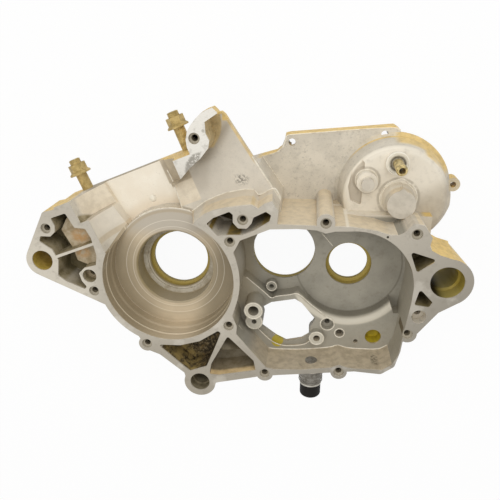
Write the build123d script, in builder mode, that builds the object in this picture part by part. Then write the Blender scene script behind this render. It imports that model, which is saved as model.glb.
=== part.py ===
"""Right half of a two-stroke engine crankcase, standing on its clutch cover face.

The origin is on the crank axis at mid depth of the main bearing bore. The split face lies
SPLIT_Z above it, facing +Z. X runs from the crank to the swingarm pivot, Y towards the cylinder.
Depths are measured down from the split face. All sizes in mm.
"""
import os
from math import cos, radians, sin

from build123d import *

os.makedirs("parts", exist_ok=True)

# Levels: the split face above the origin, then depths below the split face
SPLIT_Z = 42.0
LOBE_DEPTH = 36.0
LEDGE_DEPTH = 36.0
LEDGE_BACK = 42.5
CHAMBER_DEPTH = 32.0
CRANK_WEB_BACK = 42.5
GEAR_FLOOR = 52.0
GEARBOX_BACK = 60.0
DECK_BACK = 50.0
TROUGH_FLOOR = 34.0
TROUGH_BACK = 42.0
HORN_STEP = 14.0
PLATE_FRONT = 80.0
PLATE_THICK = 5.0
COVER_FACE = 95.0
COVER_WALL = 5.0
PIVOT_DEPTH = 57.0
ARM_DEPTH = 38.0
MOUNT_DEPTH = 50.0

# Crank chamber and main bearing
CHAMBER_R = 59.4
CHAMBER_WALL_R = 65.0
MAIN_BEARING_R = 36.0
MAIN_BEARING_BOTTOM = 51.0
SEAL_R = 29.5
CRANK_HOLE_R = 26.7
CRANK_BOSS_BACK = 63.0

# Gearbox shafts
MAINSHAFT = (101.4, 14.0)
MAINSHAFT_BORE_R = 29.2
COUNTERSHAFT = (162.6, 2.0)
COUNTER_SEAT_R = 21.5
COUNTER_HOLE_R = 18.2
COUNTER_BOSS_BACK = 64.0
GEAR_RECESS_R = 50.0
GEAR_LIP_R = 55.5

# Swingarm pivot and engine mounts
PIVOT = (242.7, 9.2)
PIVOT_SEAT_R = 14.5
PIVOT_SEAT_DEPTH = 16.0
PIVOT_HOLE_R = 12.0
PIVOT_BOSS_R = 21.7
FRONT_MOUNT = (-113.9, 15.2)
FRONT_MOUNT_BORE_R = 9.5
FRONT_MOUNT_BOSS_R = 15.0
LOWER_MOUNT = (26.3, -103.7)
LOWER_MOUNT_SEAT_R = 9.2
LOWER_MOUNT_SEAT_DEPTH = 10.0
LOWER_MOUNT_HOLE_R = 7.6
LOWER_MOUNT_BOSS_R = 14.9

# Cylinder seat, leaning forwards from Y, and its studs: place along the seat and reach above it
LEAN = 22.0
DECK_HEIGHT = 97.0
SPIGOT_R = 50.0
SPIGOT_STEP = 76.0
SPIGOT_LOWER_R = 41.5
TRANSFER_DEPTH = 46.0
CHAMBER_DISC_R = 58.4
STUDS = {"front": (-47.0, 29.0), "rear": (55.5, 35.0)}
STUD_DEPTH = 40.0
STUD_R = 5.0
STUD_SUNK = 18.0
THREAD_CLEARANCE = 0.05
NUT_ACROSS_FLATS = 14.0
NUT_HEIGHT = 9.5
NUT_FLANGE_R = 9.8
STUD_TIP_PROUD = 4.5

# Split face screws: position and boss radius
CASE_SCREWS = {
    "front_top": (-106.9, 45.9, 7.0),
    "front_low": (-68.7, -13.0, 7.0),
    "chamber_low": (-22.8, -65.0, 7.7),
    "trough": (67.8, 59.7, 8.5),
    "web_top": (56.5, 39.4, 7.5),
    "web_low": (54.5, -42.3, 7.0),
    "gearbox_top": (137.9, 58.9, 7.8),
    "drum": (213.3, 51.9, 8.5),
    "rear_low": (214.1, -42.0, 8.0),
    "sump_front": (87.8, -90.6, 7.8),
    "sump_rear": (156.0, -84.5, 7.5),
    "horn": (28.6, 127.7, 7.5),
}
SCREW_HOLE_R = 2.9
SCREW_MOUTH_R = 4.7
SCREW_MOUTH_DEPTH = 3.0
SCREW_HOLE_DEPTH = 26.0
DOWELS = ((-71.5, 1.8), (222.2, -24.2))
DOWEL_R = 6.4
DOWEL_DEPTH = 11.0

# Drum shaped bulge in the plate, its vent nipple and bosses
BULGE = (200.0, 68.5)
BULGE_FACE = 48.0
BULGE_TOP_R = 46.5
BULGE_BASE_R = 50.5
BULGE_WALL = 5.0
BULGE_RIM = 6.0
BULGE_RING_R = 57.2
NIPPLE = (198.8, 101.0)
NIPPLE_R = 4.4
NIPPLE_BORE_R = 2.8
NIPPLE_TIP = 16.0
NIPPLE_BOSS_TOP = 43.0
SEAT_RING_R = 8.2
SEAT_RING_THICK = 5.0
RING_CLEARANCE = 0.05
CAP_BOSS = (202.4, 68.8)
CAP_BOSS_TOP = 26.0
PIN_BOSS = (173.3, 84.5)
PIN_BOSS_STEP = 39.0
PIN_BOSS_TOP = 31.0

# Fitting under the gearbox, its axis along Y
FITTING_X = 130.8
FITTING_DEPTH = 15.0
FITTING_SEAT_Y = -90.0
SHANK_R = 5.5
COLLAR_R = 11.0
COLLAR_LENGTH = 14.5
CAP_R = 9.8
CAP_LENGTH = 13.5
RING_THICK = 1.6

# Holes round the clutch cover face
PLATE_HOLES = ((105.5, 111.1), (190.1, 119.8))
PLATE_HOLE_R = 3.3
LUG_HOLE_R = 2.8
LUG_HOLE = (256.3, 74.2)
COVER_SCREWS = ((-61.5, 3), (-41, 49), (0, 73), (38, 81), (-41, -44.5), (4, -77), (45, -98.5), (95, -110.5),
                (147, -108.5), (191, -91), (206, -56), (222, 14))
COVER_BOSS_R = 6.2
COVER_HOLE_R = 2.5
COVER_HOLE_DEPTH = 18.0

u = (cos(radians(LEAN)), sin(radians(LEAN)))
n = (-sin(radians(LEAN)), cos(radians(LEAN)))


def level(depth):
    """Plane parallel to the split face, at a depth below it."""
    return Plane.XY.offset(SPLIT_Z - depth)


def section(y):
    """Plane across Y whose sketches are drawn in X and height over the split face."""
    return Plane(origin=(0, y, SPLIT_Z), x_dir=(1, 0, 0), z_dir=(0, -1, 0))


def seat(t, h):
    """Point t along the cylinder seat and h up the cylinder axis."""
    return (u[0] * t + n[0] * h, u[1] * t + n[1] * h)


def seat_plane(t, h, depth):
    """Plane square to the cylinder axis."""
    return Plane(origin=(*seat(t, h), SPLIT_Z - depth), x_dir=(*u, 0), z_dir=(*n, 0))


def screw(name):
    """Position of one split face screw."""
    return CASE_SCREWS[name][:2]


# Outlines on the split face
front_lobe_points = [seat(-77.5, DECK_HEIGHT), (-127.6, 21.6), (-119.9, 1.4), (-60, -26), (-30, -30),
                     (-30, 80)]
under_chamber_points = [(-30, -58), (-20, -72.5), (-11, -76), (11.5, -94.5), (16, -112), (44.5, -103),
                        (79, -95), (95, -90), (62, -40), (20, -40)]
gearbox_points = [(48, 46), (52, -48), (82, -94), (100, -91.5), (141, -86.5), (170, -83), (194, -84.5),
                  (205.5, -76), (209.5, -60), (210.5, -50), (221, -25), (222.5, 0), (221, 25), (226, 49),
                  (222, 55), (218.5, 59.5), (210.5, 61), (206.5, 56.5), (202, 52.4), (198, 50.4),
                  (192, 50.2), (187, 51.5), (181, 53.4), (160, 56.3),
                  (97, 56.3), (70, 54)]
pivot_arm_points = [(205, 46), (221.5, 47.5), (226.5, 38), (234, 34), (246, 30.5), (252, -10.5),
                    (238, -19.5), (231, -29), (221.5, -42), (206, -50)]
pivot_arm_low_points = [(205, 47), (222, 49.5), (229, 41), (237, 36.6), (247.5, 33.6), (253, -10),
                        (239, -19.5), (232, -29), (222, -42.5), (206, -51)]
web_points = [(31, 56.5), (42, 63), (50.5, 68), (59, 70.5), (71, 74), (82, 73), (92, 72.5), (97, 67),
              (97.5, 50), (60, 20), (36, 40)]
flange_end = (98.0, 67.9)
horn_neck = [seat(40, DECK_HEIGHT), seat(66, DECK_HEIGHT), (22.5, 120), (21.6, 126.5), (23, 133.5)]
horn_base = [flange_end, (97, 56), (60, 52), (20, 40), (-10, 70)]
horn_upper_tip = [(26, 138.5), (30, 143.5), (34, 147.5), (38.5, 150.2), (44, 152.3), (47.4, 149)]
horn_lower_tip = [(26, 137), (30, 140), (36.5, 143.3), (46.5, 144.4), (49.3, 142)]
housing_points = [(77.5, 97.3), (40, 86), (0, 78), (-42, 60), (-66, 22), (-66, -16), (-50, -44),
                  (-18, -68), (12, -80), (60, -89), (98, -90), (141, -85), (196, -83), (206, -74),
                  (209.5, -56), (212, -30), (223, -6), (228.5, 14), (231.5, 28), (231.5, 56.3), (98.5, 56.3),
                  (98.5, 67.9)]
cover_points = [(77.5, 97.3), (40, 86), (0, 78), (-42, 60), (-66, 22), (-66, -16), (-50, -44), (-18, -70),
                (10, -84), (35, -96), (62, -110), (95, -116), (148, -114), (180, -104), (200, -91),
                (209, -72), (210, -50), (212, -30), (223, -6), (228.5, 14), (231.5, 28), (231.5, 56.3),
                (98.5, 56.3), (98.5, 67.9)]
plate_points = [(77.5, 97.3), (91.5, 101.5), (96, 105.5), (98.5, 112), (99.5, 117.5), (104, 118.6),
                (199, 127.4), (204, 124), (205, 105), (200, 50), (98.5, 50), (98.5, 67.9)]
front_pocket_points = [(-101.5, 55.5), (-87.5, 60.5), (-80.5, 47.5), (-71, 47), (-66.5, 38.5), (-63, 22),
                       (-64.5, 12.5), (-75.5, 9.5), (-81, 4), (-79, -3.5), (-75, -9), (-77, -11.5),
                       (-94, -4.5), (-101, 1), (-99, 16), (-103.5, 26), (-114.5, 33.5), (-113, 38.5),
                       (-103.5, 38.5), (-99, 43), (-98.5, 48.5)]
inner_block_points = [(-98, 41), (-92, 52), (-84, 58), (-78, 50), (-62, 45), (-58, 12), (-76, 8),
                      (-86, 12), (-89, 24)]
web_pocket_points = [(36.5, 55), (42.5, 60.5), (56.5, 66.5), (59.5, 64), (59.5, 57), (64, 52), (71.5, 52),
                     (75.5, 57), (77, 62), (87.5, 67.5), (92, 64.5), (90.5, 59), (78.5, 51), (68, 46),
                     (55, 45.5), (46, 44.5)]
dirty_pocket_points = [(-13, -65.5), (9, -65), (27.5, -59.5), (44.5, -48), (47.5, -50), (39.5, -70.5),
                       (33, -86.5), (17, -92.5), (3, -80)]
clean_pocket_points = [(53.5, -53), (37.5, -83.5), (35.5, -95), (44, -95.5), (79.5, -88), (77.5, -77.5)]
pivot_pocket_upper = [(209, 36.5), (232, 29.5), (216.5, 17)]
pivot_pocket_lower = [(220.5, 2.5), (232.5, -10), (230, -15), (217, -13)]
trough_points = [(24.5, 103.5), (33, 111), (40, 120), (41, 126), (38, 132), (37.5, 141), (48, 148),
                 (62, 166), (118, 78), (99, 67), (92.5, 76.5), (86.5, 74.2), (80.9, 69.8), (75.8, 72.8),
                 (70, 72.3), (53, 69.7), (42, 66.8), (35.5, 63.8), (28.8, 58.6), (24, 53), (10, 40),
                 (-12, 60)]
trough_floor_points = [(24.5, 103.5), (33, 111), (40, 120), (41, 126), (38, 132), (37.5, 141), (48, 148),
                       (62, 166), (118, 78), (99, 69), (93.5, 79), (88.5, 77.5), (78.8, 71.3), (74.3, 77.1),
                       (66.3, 77.3), (48.3, 73.2), (39, 69.2), (30, 64.7), (17.7, 55), (16, 51), (8, 40),
                       (-12, 60)]
transfer_points = [(-31, DECK_HEIGHT + 1), (-28.5, SPIGOT_STEP), (-24, 48), (29.5, 48), (32.5, SPIGOT_STEP),
                   (31, DECK_HEIGHT + 1)]
drum_window_points = [(84, -38.5), (91, -34), (113.5, -29.5), (120, -33.5), (133.5, -50), (129, -58),
                      (128.5, -68), (121, -73.5), (106, -77), (96, -72), (79.5, -59.5), (79.5, -54)]
drum_relief_points = [(73, -58), (80, -50), (100, -50), (126, -60), (131, -72), (124, -79), (104, -81.5),
                      (92, -77.5)]
deep_points = [(60, 60), (60, -6), (67, -9), (84, -23.5), (91, -30.5), (95.5, -27.5), (108.5, -25.5),
               (116, -23), (125, -32), (145, -35), (180, -30), (196, -12), (206, -40), (230, -40), (230, 60)]
bulge_recess_points = [(160, 66), (157.5, 78), (160, 91.5), (167, 104), (171, 100), (170, 61.5)]


def cavity_outline():
    """Inner edge of the gearbox on the split face."""
    Polyline((62.5, 35), (65.5, 41), (76, 45.5), (91, 52), (114, 53.2), (130.5, 52.5), (138, 50), (146, 52),
             (158, 52.5))
    ThreePointArc((158, 52.5), (199.5, 38.6), (215.2, 2))
    Polyline((215.2, 2), (214.5, -11), (210.5, -43), (208, -63.5), (203.5, -74), (195, -80), (170, -80.2),
             (163.5, -79.5), (156, -77), (148.5, -80.5), (121, -84.5), (96, -85.5), (89, -84), (61.5, -50.5),
             (62, -42.5), (58, -32), (61.5, -20.5))
    ThreePointArc((61.5, -20.5), (64.9, 0), (59.5, 29.5))
    Line((59.5, 29.5), (62.5, 35))


def plate_outline():
    """Plate with the ring round the bulge."""
    with BuildSketch() as outline:
        with Locations((195, 58)):
            Circle(60.5)
        with Locations(BULGE):
            Circle(BULGE_RING_R, mode=Mode.INTERSECT)
        with BuildLine():
            Polyline(*plate_points, close=True)
        make_face()
    return outline.sketch


# Recess of the large gear, with its rounded lip, cut out of the gearbox floor later
with BuildPart() as gear_recess:
    with BuildSketch(section(COUNTERSHAFT[1])):
        with BuildLine():
            cx = COUNTERSHAFT[0]
            Line((cx, -LEDGE_DEPTH), (cx + GEAR_LIP_R, -LEDGE_DEPTH))
            TangentArc((cx + GEAR_LIP_R, -LEDGE_DEPTH), (cx + GEAR_RECESS_R, -LEDGE_DEPTH - 5.5),
                       tangent=(-1, 0))
            Line((cx + GEAR_RECESS_R, -LEDGE_DEPTH - 5.5), (cx + GEAR_RECESS_R, -GEAR_FLOOR))
            Line((cx + GEAR_RECESS_R, -GEAR_FLOOR), (cx, -GEAR_FLOOR))
            Line((cx, -GEAR_FLOOR), (cx, -LEDGE_DEPTH))
        make_face()
    revolve(axis=Axis((*COUNTERSHAFT, 0), (0, 0, 1)))
    with BuildSketch(level(GEAR_FLOOR)):
        with BuildLine():
            cavity_outline()
        make_face()
    extrude(amount=GEAR_FLOOR - LEDGE_DEPTH, mode=Mode.INTERSECT)

# Outer shell of the deep end of the gearbox
with BuildPart() as deep_shell:
    with BuildSketch(level(LEDGE_DEPTH)):
        with BuildLine():
            Polyline(*deep_points, close=True)
        make_face()
        offset(amount=5)
        with Locations(COUNTERSHAFT):
            Circle(GEAR_RECESS_R + 5)
        with BuildLine():
            Polyline(*gearbox_points, close=True)
        make_face(mode=Mode.INTERSECT)
    extrude(amount=-(GEARBOX_BACK - LEDGE_DEPTH))

# Arm that carries the swingarm pivot
with BuildPart() as pivot_arm:
    for points, depth in ((pivot_arm_points, 0), (pivot_arm_low_points, ARM_DEPTH)):
        with BuildSketch(level(depth)):
            with BuildLine():
                Polyline(*points, close=True)
            make_face()
    loft(ruled=True)

# Room in the cylinder spigot: a bore in two steps kept clear of the back wall, and the transfer pocket;
# the turned floor of the crank chamber stays
with BuildPart() as spigot_room:
    with BuildSketch(seat_plane(0, DECK_HEIGHT, 0)):
        Circle(SPIGOT_R)
        with Locations((0, TRANSFER_DEPTH + 10)):
            Rectangle(2 * SPIGOT_R, 20, mode=Mode.SUBTRACT)
    extrude(amount=-(DECK_HEIGHT - SPIGOT_STEP))
    with BuildSketch(seat_plane(0, SPIGOT_STEP, 0)):
        Circle(SPIGOT_LOWER_R)
    extrude(amount=-(SPIGOT_STEP - 30))
    with BuildSketch(level(0)):
        with BuildLine():
            Polyline(*[seat(t, h) for t, h in transfer_points], close=True)
        make_face()
    extrude(amount=-TRANSFER_DEPTH)
    with BuildSketch(level(CHAMBER_DEPTH)):
        Circle(CHAMBER_DISC_R)
    extrude(amount=-20, mode=Mode.SUBTRACT)

# Room in the intake trough, its lower wall leaning back
with BuildPart() as trough_room:
    with BuildSketch(level(0)):
        with BuildLine():
            Polyline(*trough_points, close=True)
        make_face()
    with BuildSketch(level(TROUGH_FLOOR)):
        with BuildLine():
            Polyline(*trough_floor_points, close=True)
        make_face()
    loft(ruled=True)
    with BuildSketch(level(CHAMBER_DEPTH)):
        Circle(CHAMBER_DISC_R)
    extrude(amount=-20, mode=Mode.SUBTRACT)

# The casting
with BuildPart() as crankcase:
    # clutch housing ring, wider at the bottom from the cover floor on
    with BuildSketch(level(LOBE_DEPTH)) as housing_sketch:
        with BuildLine():
            Polyline(*housing_points, close=True)
        make_face()
        fillet(housing_sketch.vertices().filter_by_position(Axis.X, -70, 20), 14)
    extrude(amount=-(44 - LOBE_DEPTH))
    with BuildSketch(level(44)) as cover_sketch:
        with BuildLine():
            Polyline(*cover_points, close=True)
        make_face()
        fillet(cover_sketch.vertices().filter_by_position(Axis.X, -70, 5), 14)
    extrude(amount=-(COVER_FACE - 44))
    # plate and the ring round the bulge
    with BuildSketch(level(PLATE_FRONT)) as plate_sketch:
        add(plate_outline())
        fillet(plate_sketch.vertices().filter_by_position(Axis.X, 96.5, 99), 2.5)
        fillet(plate_sketch.vertices().filter_by_position(Axis.Y, 123, 128), 3)
        with Locations(LUG_HOLE):
            Circle(6.5)
    extrude(amount=-(COVER_FACE - PLATE_FRONT))
    # drum shaped bulge
    with BuildSketch(section(BULGE[1])):
        with BuildLine():
            bx = BULGE[0]
            Line((bx, -PLATE_FRONT - 4), (bx, -BULGE_FACE))
            Line((bx, -BULGE_FACE), (bx + BULGE_TOP_R - BULGE_RIM, -BULGE_FACE))
            TangentArc((bx + BULGE_TOP_R - BULGE_RIM, -BULGE_FACE),
                       (bx + BULGE_TOP_R, -BULGE_FACE - BULGE_RIM), tangent=(1, 0))
            Line((bx + BULGE_TOP_R, -BULGE_FACE - BULGE_RIM), (bx + BULGE_BASE_R, -PLATE_FRONT + 3))
            Line((bx + BULGE_BASE_R, -PLATE_FRONT + 3), (bx + BULGE_BASE_R + 3, -PLATE_FRONT))
            Line((bx + BULGE_BASE_R + 3, -PLATE_FRONT), (bx + BULGE_BASE_R + 3, -PLATE_FRONT - 4))
            Line((bx + BULGE_BASE_R + 3, -PLATE_FRONT - 4), (bx, -PLATE_FRONT - 4))
        make_face()
    revolve(axis=Axis((*BULGE, 0), (0, 0, 1)))

    # clutch housing hollowed from the cover face, in two levels
    with BuildSketch(level(COVER_FACE)) as cover_hollow:
        with BuildLine():
            Polyline(*cover_points, close=True)
        make_face()
        fillet(cover_hollow.vertices().filter_by_position(Axis.X, -70, 5), 14)
        offset(amount=-COVER_WALL)
    extrude(amount=COVER_FACE - 48, mode=Mode.SUBTRACT)
    with BuildSketch(level(48)) as web_hollow:
        with BuildLine():
            Polyline(*housing_points, close=True)
        make_face()
        fillet(web_hollow.vertices().filter_by_position(Axis.X, -70, 20), 14)
        offset(amount=-COVER_WALL)
    extrude(amount=48 - LEDGE_BACK, mode=Mode.SUBTRACT)
    # behind the plate and inside the bulge
    with BuildSketch(level(COVER_FACE)):
        add(plate_outline())
        offset(amount=-7.5)
        with BuildLine():
            Polyline((70, 56.4), (270, 56.4), (270, -20), (70, -20), close=True)
        make_face(mode=Mode.SUBTRACT)
    extrude(amount=COVER_FACE - PLATE_FRONT - PLATE_THICK, mode=Mode.SUBTRACT)
    with BuildSketch(level(COVER_FACE)):
        with Locations((167, 53)):
            Rectangle(122, 14)
    extrude(amount=COVER_FACE - PLATE_FRONT - PLATE_THICK, mode=Mode.SUBTRACT)
    with BuildSketch(level(COVER_FACE)):
        with Locations(BULGE):
            Circle(BULGE_TOP_R - BULGE_WALL)
        with BuildLine():
            Polyline((150, 110), (173.5, 110), (173.5, 58.2), (190, 52), (215, 44), (260, 10), (260, -10),
                     (140, -10), close=True)
        make_face(mode=Mode.SUBTRACT)
    extrude(amount=COVER_FACE - BULGE_FACE - BULGE_WALL, mode=Mode.SUBTRACT)

    # front lobe with the front engine mount
    with BuildSketch(level(0)) as lobe_sketch:
        with BuildLine():
            Polyline(*front_lobe_points, close=True)
        make_face()
        fillet(lobe_sketch.vertices().filter_by_position(Axis.X, -125, -100), 3)
        with Locations(screw("front_top")):
            Circle(CASE_SCREWS["front_top"][2])
    extrude(amount=-LOBE_DEPTH)
    with BuildSketch(level(0)):
        with Locations(FRONT_MOUNT):
            Circle(FRONT_MOUNT_BOSS_R)
        with Locations(LOWER_MOUNT):
            Circle(LOWER_MOUNT_BOSS_R)
    extrude(amount=-MOUNT_DEPTH)
    # crank chamber wall
    with BuildSketch(level(0)):
        Circle(CHAMBER_WALL_R)
        with Locations(screw("chamber_low")):
            Circle(CASE_SCREWS["chamber_low"][2])
    extrude(amount=-CRANK_WEB_BACK)
    # cylinder seat block
    with BuildSketch(level(0)):
        with BuildLine():
            Polyline(seat(-66, DECK_HEIGHT), seat(-58, 20), seat(40, 20), seat(63, DECK_HEIGHT), close=True)
        make_face()
    extrude(amount=-DECK_BACK)
    # lower engine mount and the web under the chamber
    with BuildSketch(level(0)):
        with BuildLine():
            Polyline(*under_chamber_points, close=True)
        make_face()
        with Locations(screw("sump_front")):
            Circle(CASE_SCREWS["sump_front"][2])
    extrude(amount=-LOBE_DEPTH)
    # gearbox
    with BuildSketch(level(0)) as gearbox_sketch:
        with BuildLine():
            Polyline(*gearbox_points, close=True)
        make_face()
        rear_corners = gearbox_sketch.vertices().filter_by_position(Axis.Y, -90, -40)
        fillet(rear_corners.filter_by_position(Axis.X, 190, 225), 5)
        with Locations(screw("sump_rear")):
            Circle(CASE_SCREWS["sump_rear"][2])
        with Locations(screw("gearbox_top")):
            Circle(CASE_SCREWS["gearbox_top"][2])
    extrude(amount=-LEDGE_BACK)
    with BuildSketch(level(LEDGE_BACK - 1)):
        with Locations(screw("gearbox_top")):
            Circle(CASE_SCREWS["gearbox_top"][2])
    extrude(amount=-(PLATE_FRONT - LEDGE_BACK) - 2)
    add(deep_shell.part)
    # swingarm pivot arm, wider at the back as the mould leaves it
    add(pivot_arm.part)
    with BuildSketch(level(0)):
        for name in ("drum", "rear_low"):
            with Locations(screw(name)):
                Circle(CASE_SCREWS[name][2])
    extrude(amount=-ARM_DEPTH)
    with BuildSketch(level(0)):
        with Locations(PIVOT):
            Circle(PIVOT_BOSS_R)
    extrude(amount=-PIVOT_DEPTH, taper=3.5)
    # web between the chamber, the intake and the gearbox
    with BuildSketch(level(0)):
        with BuildLine():
            Polyline(*web_points, close=True)
        make_face()
    extrude(amount=-DECK_BACK)
    # intake trough block with the horn and the reed flange
    with BuildSketch(level(0)) as horn_sketch:
        with BuildLine():
            Polyline(*horn_neck, *horn_upper_tip, *horn_base, close=True)
        make_face()
        fillet(horn_sketch.vertices().filter_by_position(Axis.Y, 118, 149), 2)
    extrude(amount=-HORN_STEP)
    with BuildSketch(level(HORN_STEP)):
        with BuildLine():
            Polyline(*horn_neck, *horn_lower_tip, *horn_base, close=True)
        make_face()
    extrude(amount=-(TROUGH_BACK - HORN_STEP))
    # bearing bosses on the outer side, and ribs between the crank boss and the chamber wall
    with BuildSketch(level(CHAMBER_DEPTH)):
        Circle(MAIN_BEARING_R + 7)
    extrude(amount=-(CRANK_BOSS_BACK - CHAMBER_DEPTH))
    with BuildSketch(level(GEAR_FLOOR)):
        with Locations(COUNTERSHAFT):
            Circle(COUNTER_SEAT_R + 6)
    extrude(amount=-(COUNTER_BOSS_BACK - GEAR_FLOOR))
    with BuildSketch(level(CRANK_WEB_BACK)):
        with PolarLocations(MAIN_BEARING_R + 14, 7, start_angle=75, angular_range=300, endpoint=True):
            Rectangle(18, 5)
    extrude(amount=-10)

    # crank chamber, turned in steps, and the main bearing bore
    with BuildSketch(section(0)):
        with BuildLine():
            Polyline((0, 1), (CHAMBER_R + 0.6, 1), (CHAMBER_R, -1), (CHAMBER_R, -9), (CHAMBER_R - 0.7, -10),
                     (CHAMBER_R - 0.7, -20), (CHAMBER_R - 1.8, -22), (CHAMBER_R - 1.8, -CHAMBER_DEPTH),
                     (MAIN_BEARING_R + 1.2, -CHAMBER_DEPTH), (MAIN_BEARING_R, -CHAMBER_DEPTH - 1.2),
                     (MAIN_BEARING_R, -MAIN_BEARING_BOTTOM), (SEAL_R + 2, -MAIN_BEARING_BOTTOM),
                     (SEAL_R + 2, -MAIN_BEARING_BOTTOM - 2), (SEAL_R, -MAIN_BEARING_BOTTOM - 2),
                     (SEAL_R, -CRANK_BOSS_BACK + 4), (CRANK_HOLE_R, -CRANK_BOSS_BACK + 4),
                     (CRANK_HOLE_R, -CRANK_BOSS_BACK - 1), (0, -CRANK_BOSS_BACK - 1), close=True)
        make_face()
    revolve(axis=Axis.Z, mode=Mode.SUBTRACT)
    # cylinder spigot and intake trough, both open towards the chamber
    add(spigot_room.part, mode=Mode.SUBTRACT)
    add(trough_room.part, mode=Mode.SUBTRACT)
    # gearbox: ledge, deep end, gear recess and drum window
    with BuildSketch(level(0)):
        with BuildLine():
            cavity_outline()
        make_face()
    extrude(amount=-LEDGE_DEPTH, mode=Mode.SUBTRACT)
    with BuildSketch(level(LEDGE_DEPTH)):
        with BuildLine():
            Polyline(*deep_points, close=True)
        make_face()
        with BuildLine():
            cavity_outline()
        make_face(mode=Mode.INTERSECT)
    extrude(amount=-(GEAR_FLOOR - LEDGE_DEPTH), mode=Mode.SUBTRACT)
    add(gear_recess.part, mode=Mode.SUBTRACT)
    with BuildSketch(level(LEDGE_DEPTH)):
        with BuildLine():
            Polyline(*drum_window_points, close=True)
        make_face()
    extrude(amount=-(GEARBOX_BACK - LEDGE_DEPTH) - 1, mode=Mode.SUBTRACT)
    with BuildSketch(level(LEDGE_DEPTH)) as relief_sketch:
        with BuildLine():
            Polyline(*drum_relief_points, close=True)
        make_face()
        fillet(relief_sketch.vertices(), 2)
    extrude(amount=-3, mode=Mode.SUBTRACT)
    # shaft bores
    with BuildSketch(level(GEAR_FLOOR)):
        with Locations(MAINSHAFT):
            Circle(MAINSHAFT_BORE_R)
    extrude(amount=-(GEARBOX_BACK - GEAR_FLOOR), mode=Mode.SUBTRACT)
    for radius, depth in ((COUNTER_SEAT_R, 8), (COUNTER_HOLE_R, COUNTER_BOSS_BACK - GEAR_FLOOR)):
        with BuildSketch(level(GEAR_FLOOR)):
            with Locations(COUNTERSHAFT):
                Circle(radius)
        extrude(amount=-depth, mode=Mode.SUBTRACT)
    # pockets
    with BuildSketch(level(0)) as pocket_sketch:
        with BuildLine():
            Polyline(*front_pocket_points, close=True)
        make_face()
        fillet(pocket_sketch.vertices(), 1.6)
        with BuildLine():
            Polyline((-106, 18.5), (-86, 26), (-60, 36), (-60, 33.5), (-85, 24), (-105, 16), close=True)
        make_face(mode=Mode.SUBTRACT)
    extrude(amount=-30, mode=Mode.SUBTRACT)
    for points, depth, radius in ((web_pocket_points, 42, 1.4), (dirty_pocket_points, 26, 1.6),
                                  (clean_pocket_points, 30, 1.6), (pivot_pocket_upper, 30, 1.8),
                                  (pivot_pocket_lower, 30, 1.8)):
        with BuildSketch(level(0)) as one_pocket:
            with BuildLine():
                Polyline(*points, close=True)
            make_face()
            fillet(one_pocket.vertices(), radius)
        extrude(amount=-depth, mode=Mode.SUBTRACT)
    # raised block in the front pocket and floor step in the clean pocket
    with BuildSketch(level(12)) as block_sketch:
        with BuildLine():
            Polyline(*inner_block_points, close=True)
        make_face()
        fillet(block_sketch.vertices(), 2)
    extrude(amount=-(LOBE_DEPTH - 12))
    with BuildSketch(level(17)):
        with BuildLine():
            Polyline((53, -50), (44, -76), (46, -77.5), (72, -75), (78, -74), (62, -50), close=True)
        make_face()
    extrude(amount=-15)
    # bosses of the gearbox ledge: position, radius, top and back
    for x, y, radius, top, back in ((76.0, -32.0, 8.7, 12, 58), (75.5, -50.0, 8.3, 25, 50),
                                    (135.2, -67.0, 7.4, 29, 54), (145.0, -54.7, 8.0, 38, 55),
                                    (157.1, -63.8, 7.0, 38, 52), (172.9, -72.0, 5.5, 38, 50),
                                    (189.0, -66.0, 11.0, 38, 54), (90.5, -21.0, 5.5, 44, 58)):
        with BuildSketch(level(top)):
            with Locations((x, y)):
                Circle(radius)
        extrude(amount=-(back - top))
    # their holes: position, radius, mouth and depth
    for x, y, radius, mouth, depth in ((76.0, -32.0, 4.9, 12, 32), (75.5, -50.0, 2.4, 25, 14),
                                       (135.2, -67.0, 3.2, 29, 16), (90.5, -21.0, 2.2, 44, 12),
                                       (145.0, -54.7, 5.7, 36, 6), (145.0, -54.7, 2.6, 36, 15),
                                       (157.1, -63.8, 3.7, 36, 12), (172.9, -72.0, 2.2, 36, 10),
                                       (189.0, -66.0, 7.6, 36, 14), (189.5, 48.5, 1.1, 0, 6)):
        with BuildSketch(level(mouth)):
            with Locations((x, y)):
                Circle(radius)
        extrude(amount=-depth, mode=Mode.SUBTRACT)
    # bosses on the bulge
    with BuildSketch(level(NIPPLE_BOSS_TOP)):
        with Locations(NIPPLE):
            Circle(10.2)
    extrude(amount=-(BULGE_FACE + BULGE_WALL + 4 - NIPPLE_BOSS_TOP))
    with BuildSketch(level(CAP_BOSS_TOP)):
        with Locations(CAP_BOSS):
            Circle(12.3)
    extrude(amount=-(BULGE_FACE + 1 - CAP_BOSS_TOP), taper=-6)
    with BuildSketch(level(CAP_BOSS_TOP)):
        with BuildLine():
            Polyline((CAP_BOSS[0] - 10.5, CAP_BOSS[1] + 6.4), (CAP_BOSS[0] + 0.5, CAP_BOSS[1] + 14.6),
                     (CAP_BOSS[0] + 10.5, CAP_BOSS[1] + 6.4), close=True)
        make_face()
    extrude(amount=-(BULGE_FACE + 1 - CAP_BOSS_TOP))
    for radius, top in ((9.2, PIN_BOSS_STEP), (5.6, PIN_BOSS_TOP)):
        with BuildSketch(level(top)):
            with Locations(PIN_BOSS):
                Circle(radius)
        extrude(amount=-(BULGE_FACE + 1 - top))
    with BuildSketch(level(BULGE_FACE - 1)) as recess_sketch:
        with BuildLine():
            Polyline(*bulge_recess_points, close=True)
        make_face()
        fillet(recess_sketch.vertices(), 1.5)
        with Locations(PIN_BOSS):
            Circle(9.2, mode=Mode.SUBTRACT)
    extrude(amount=-5, mode=Mode.SUBTRACT)
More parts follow.
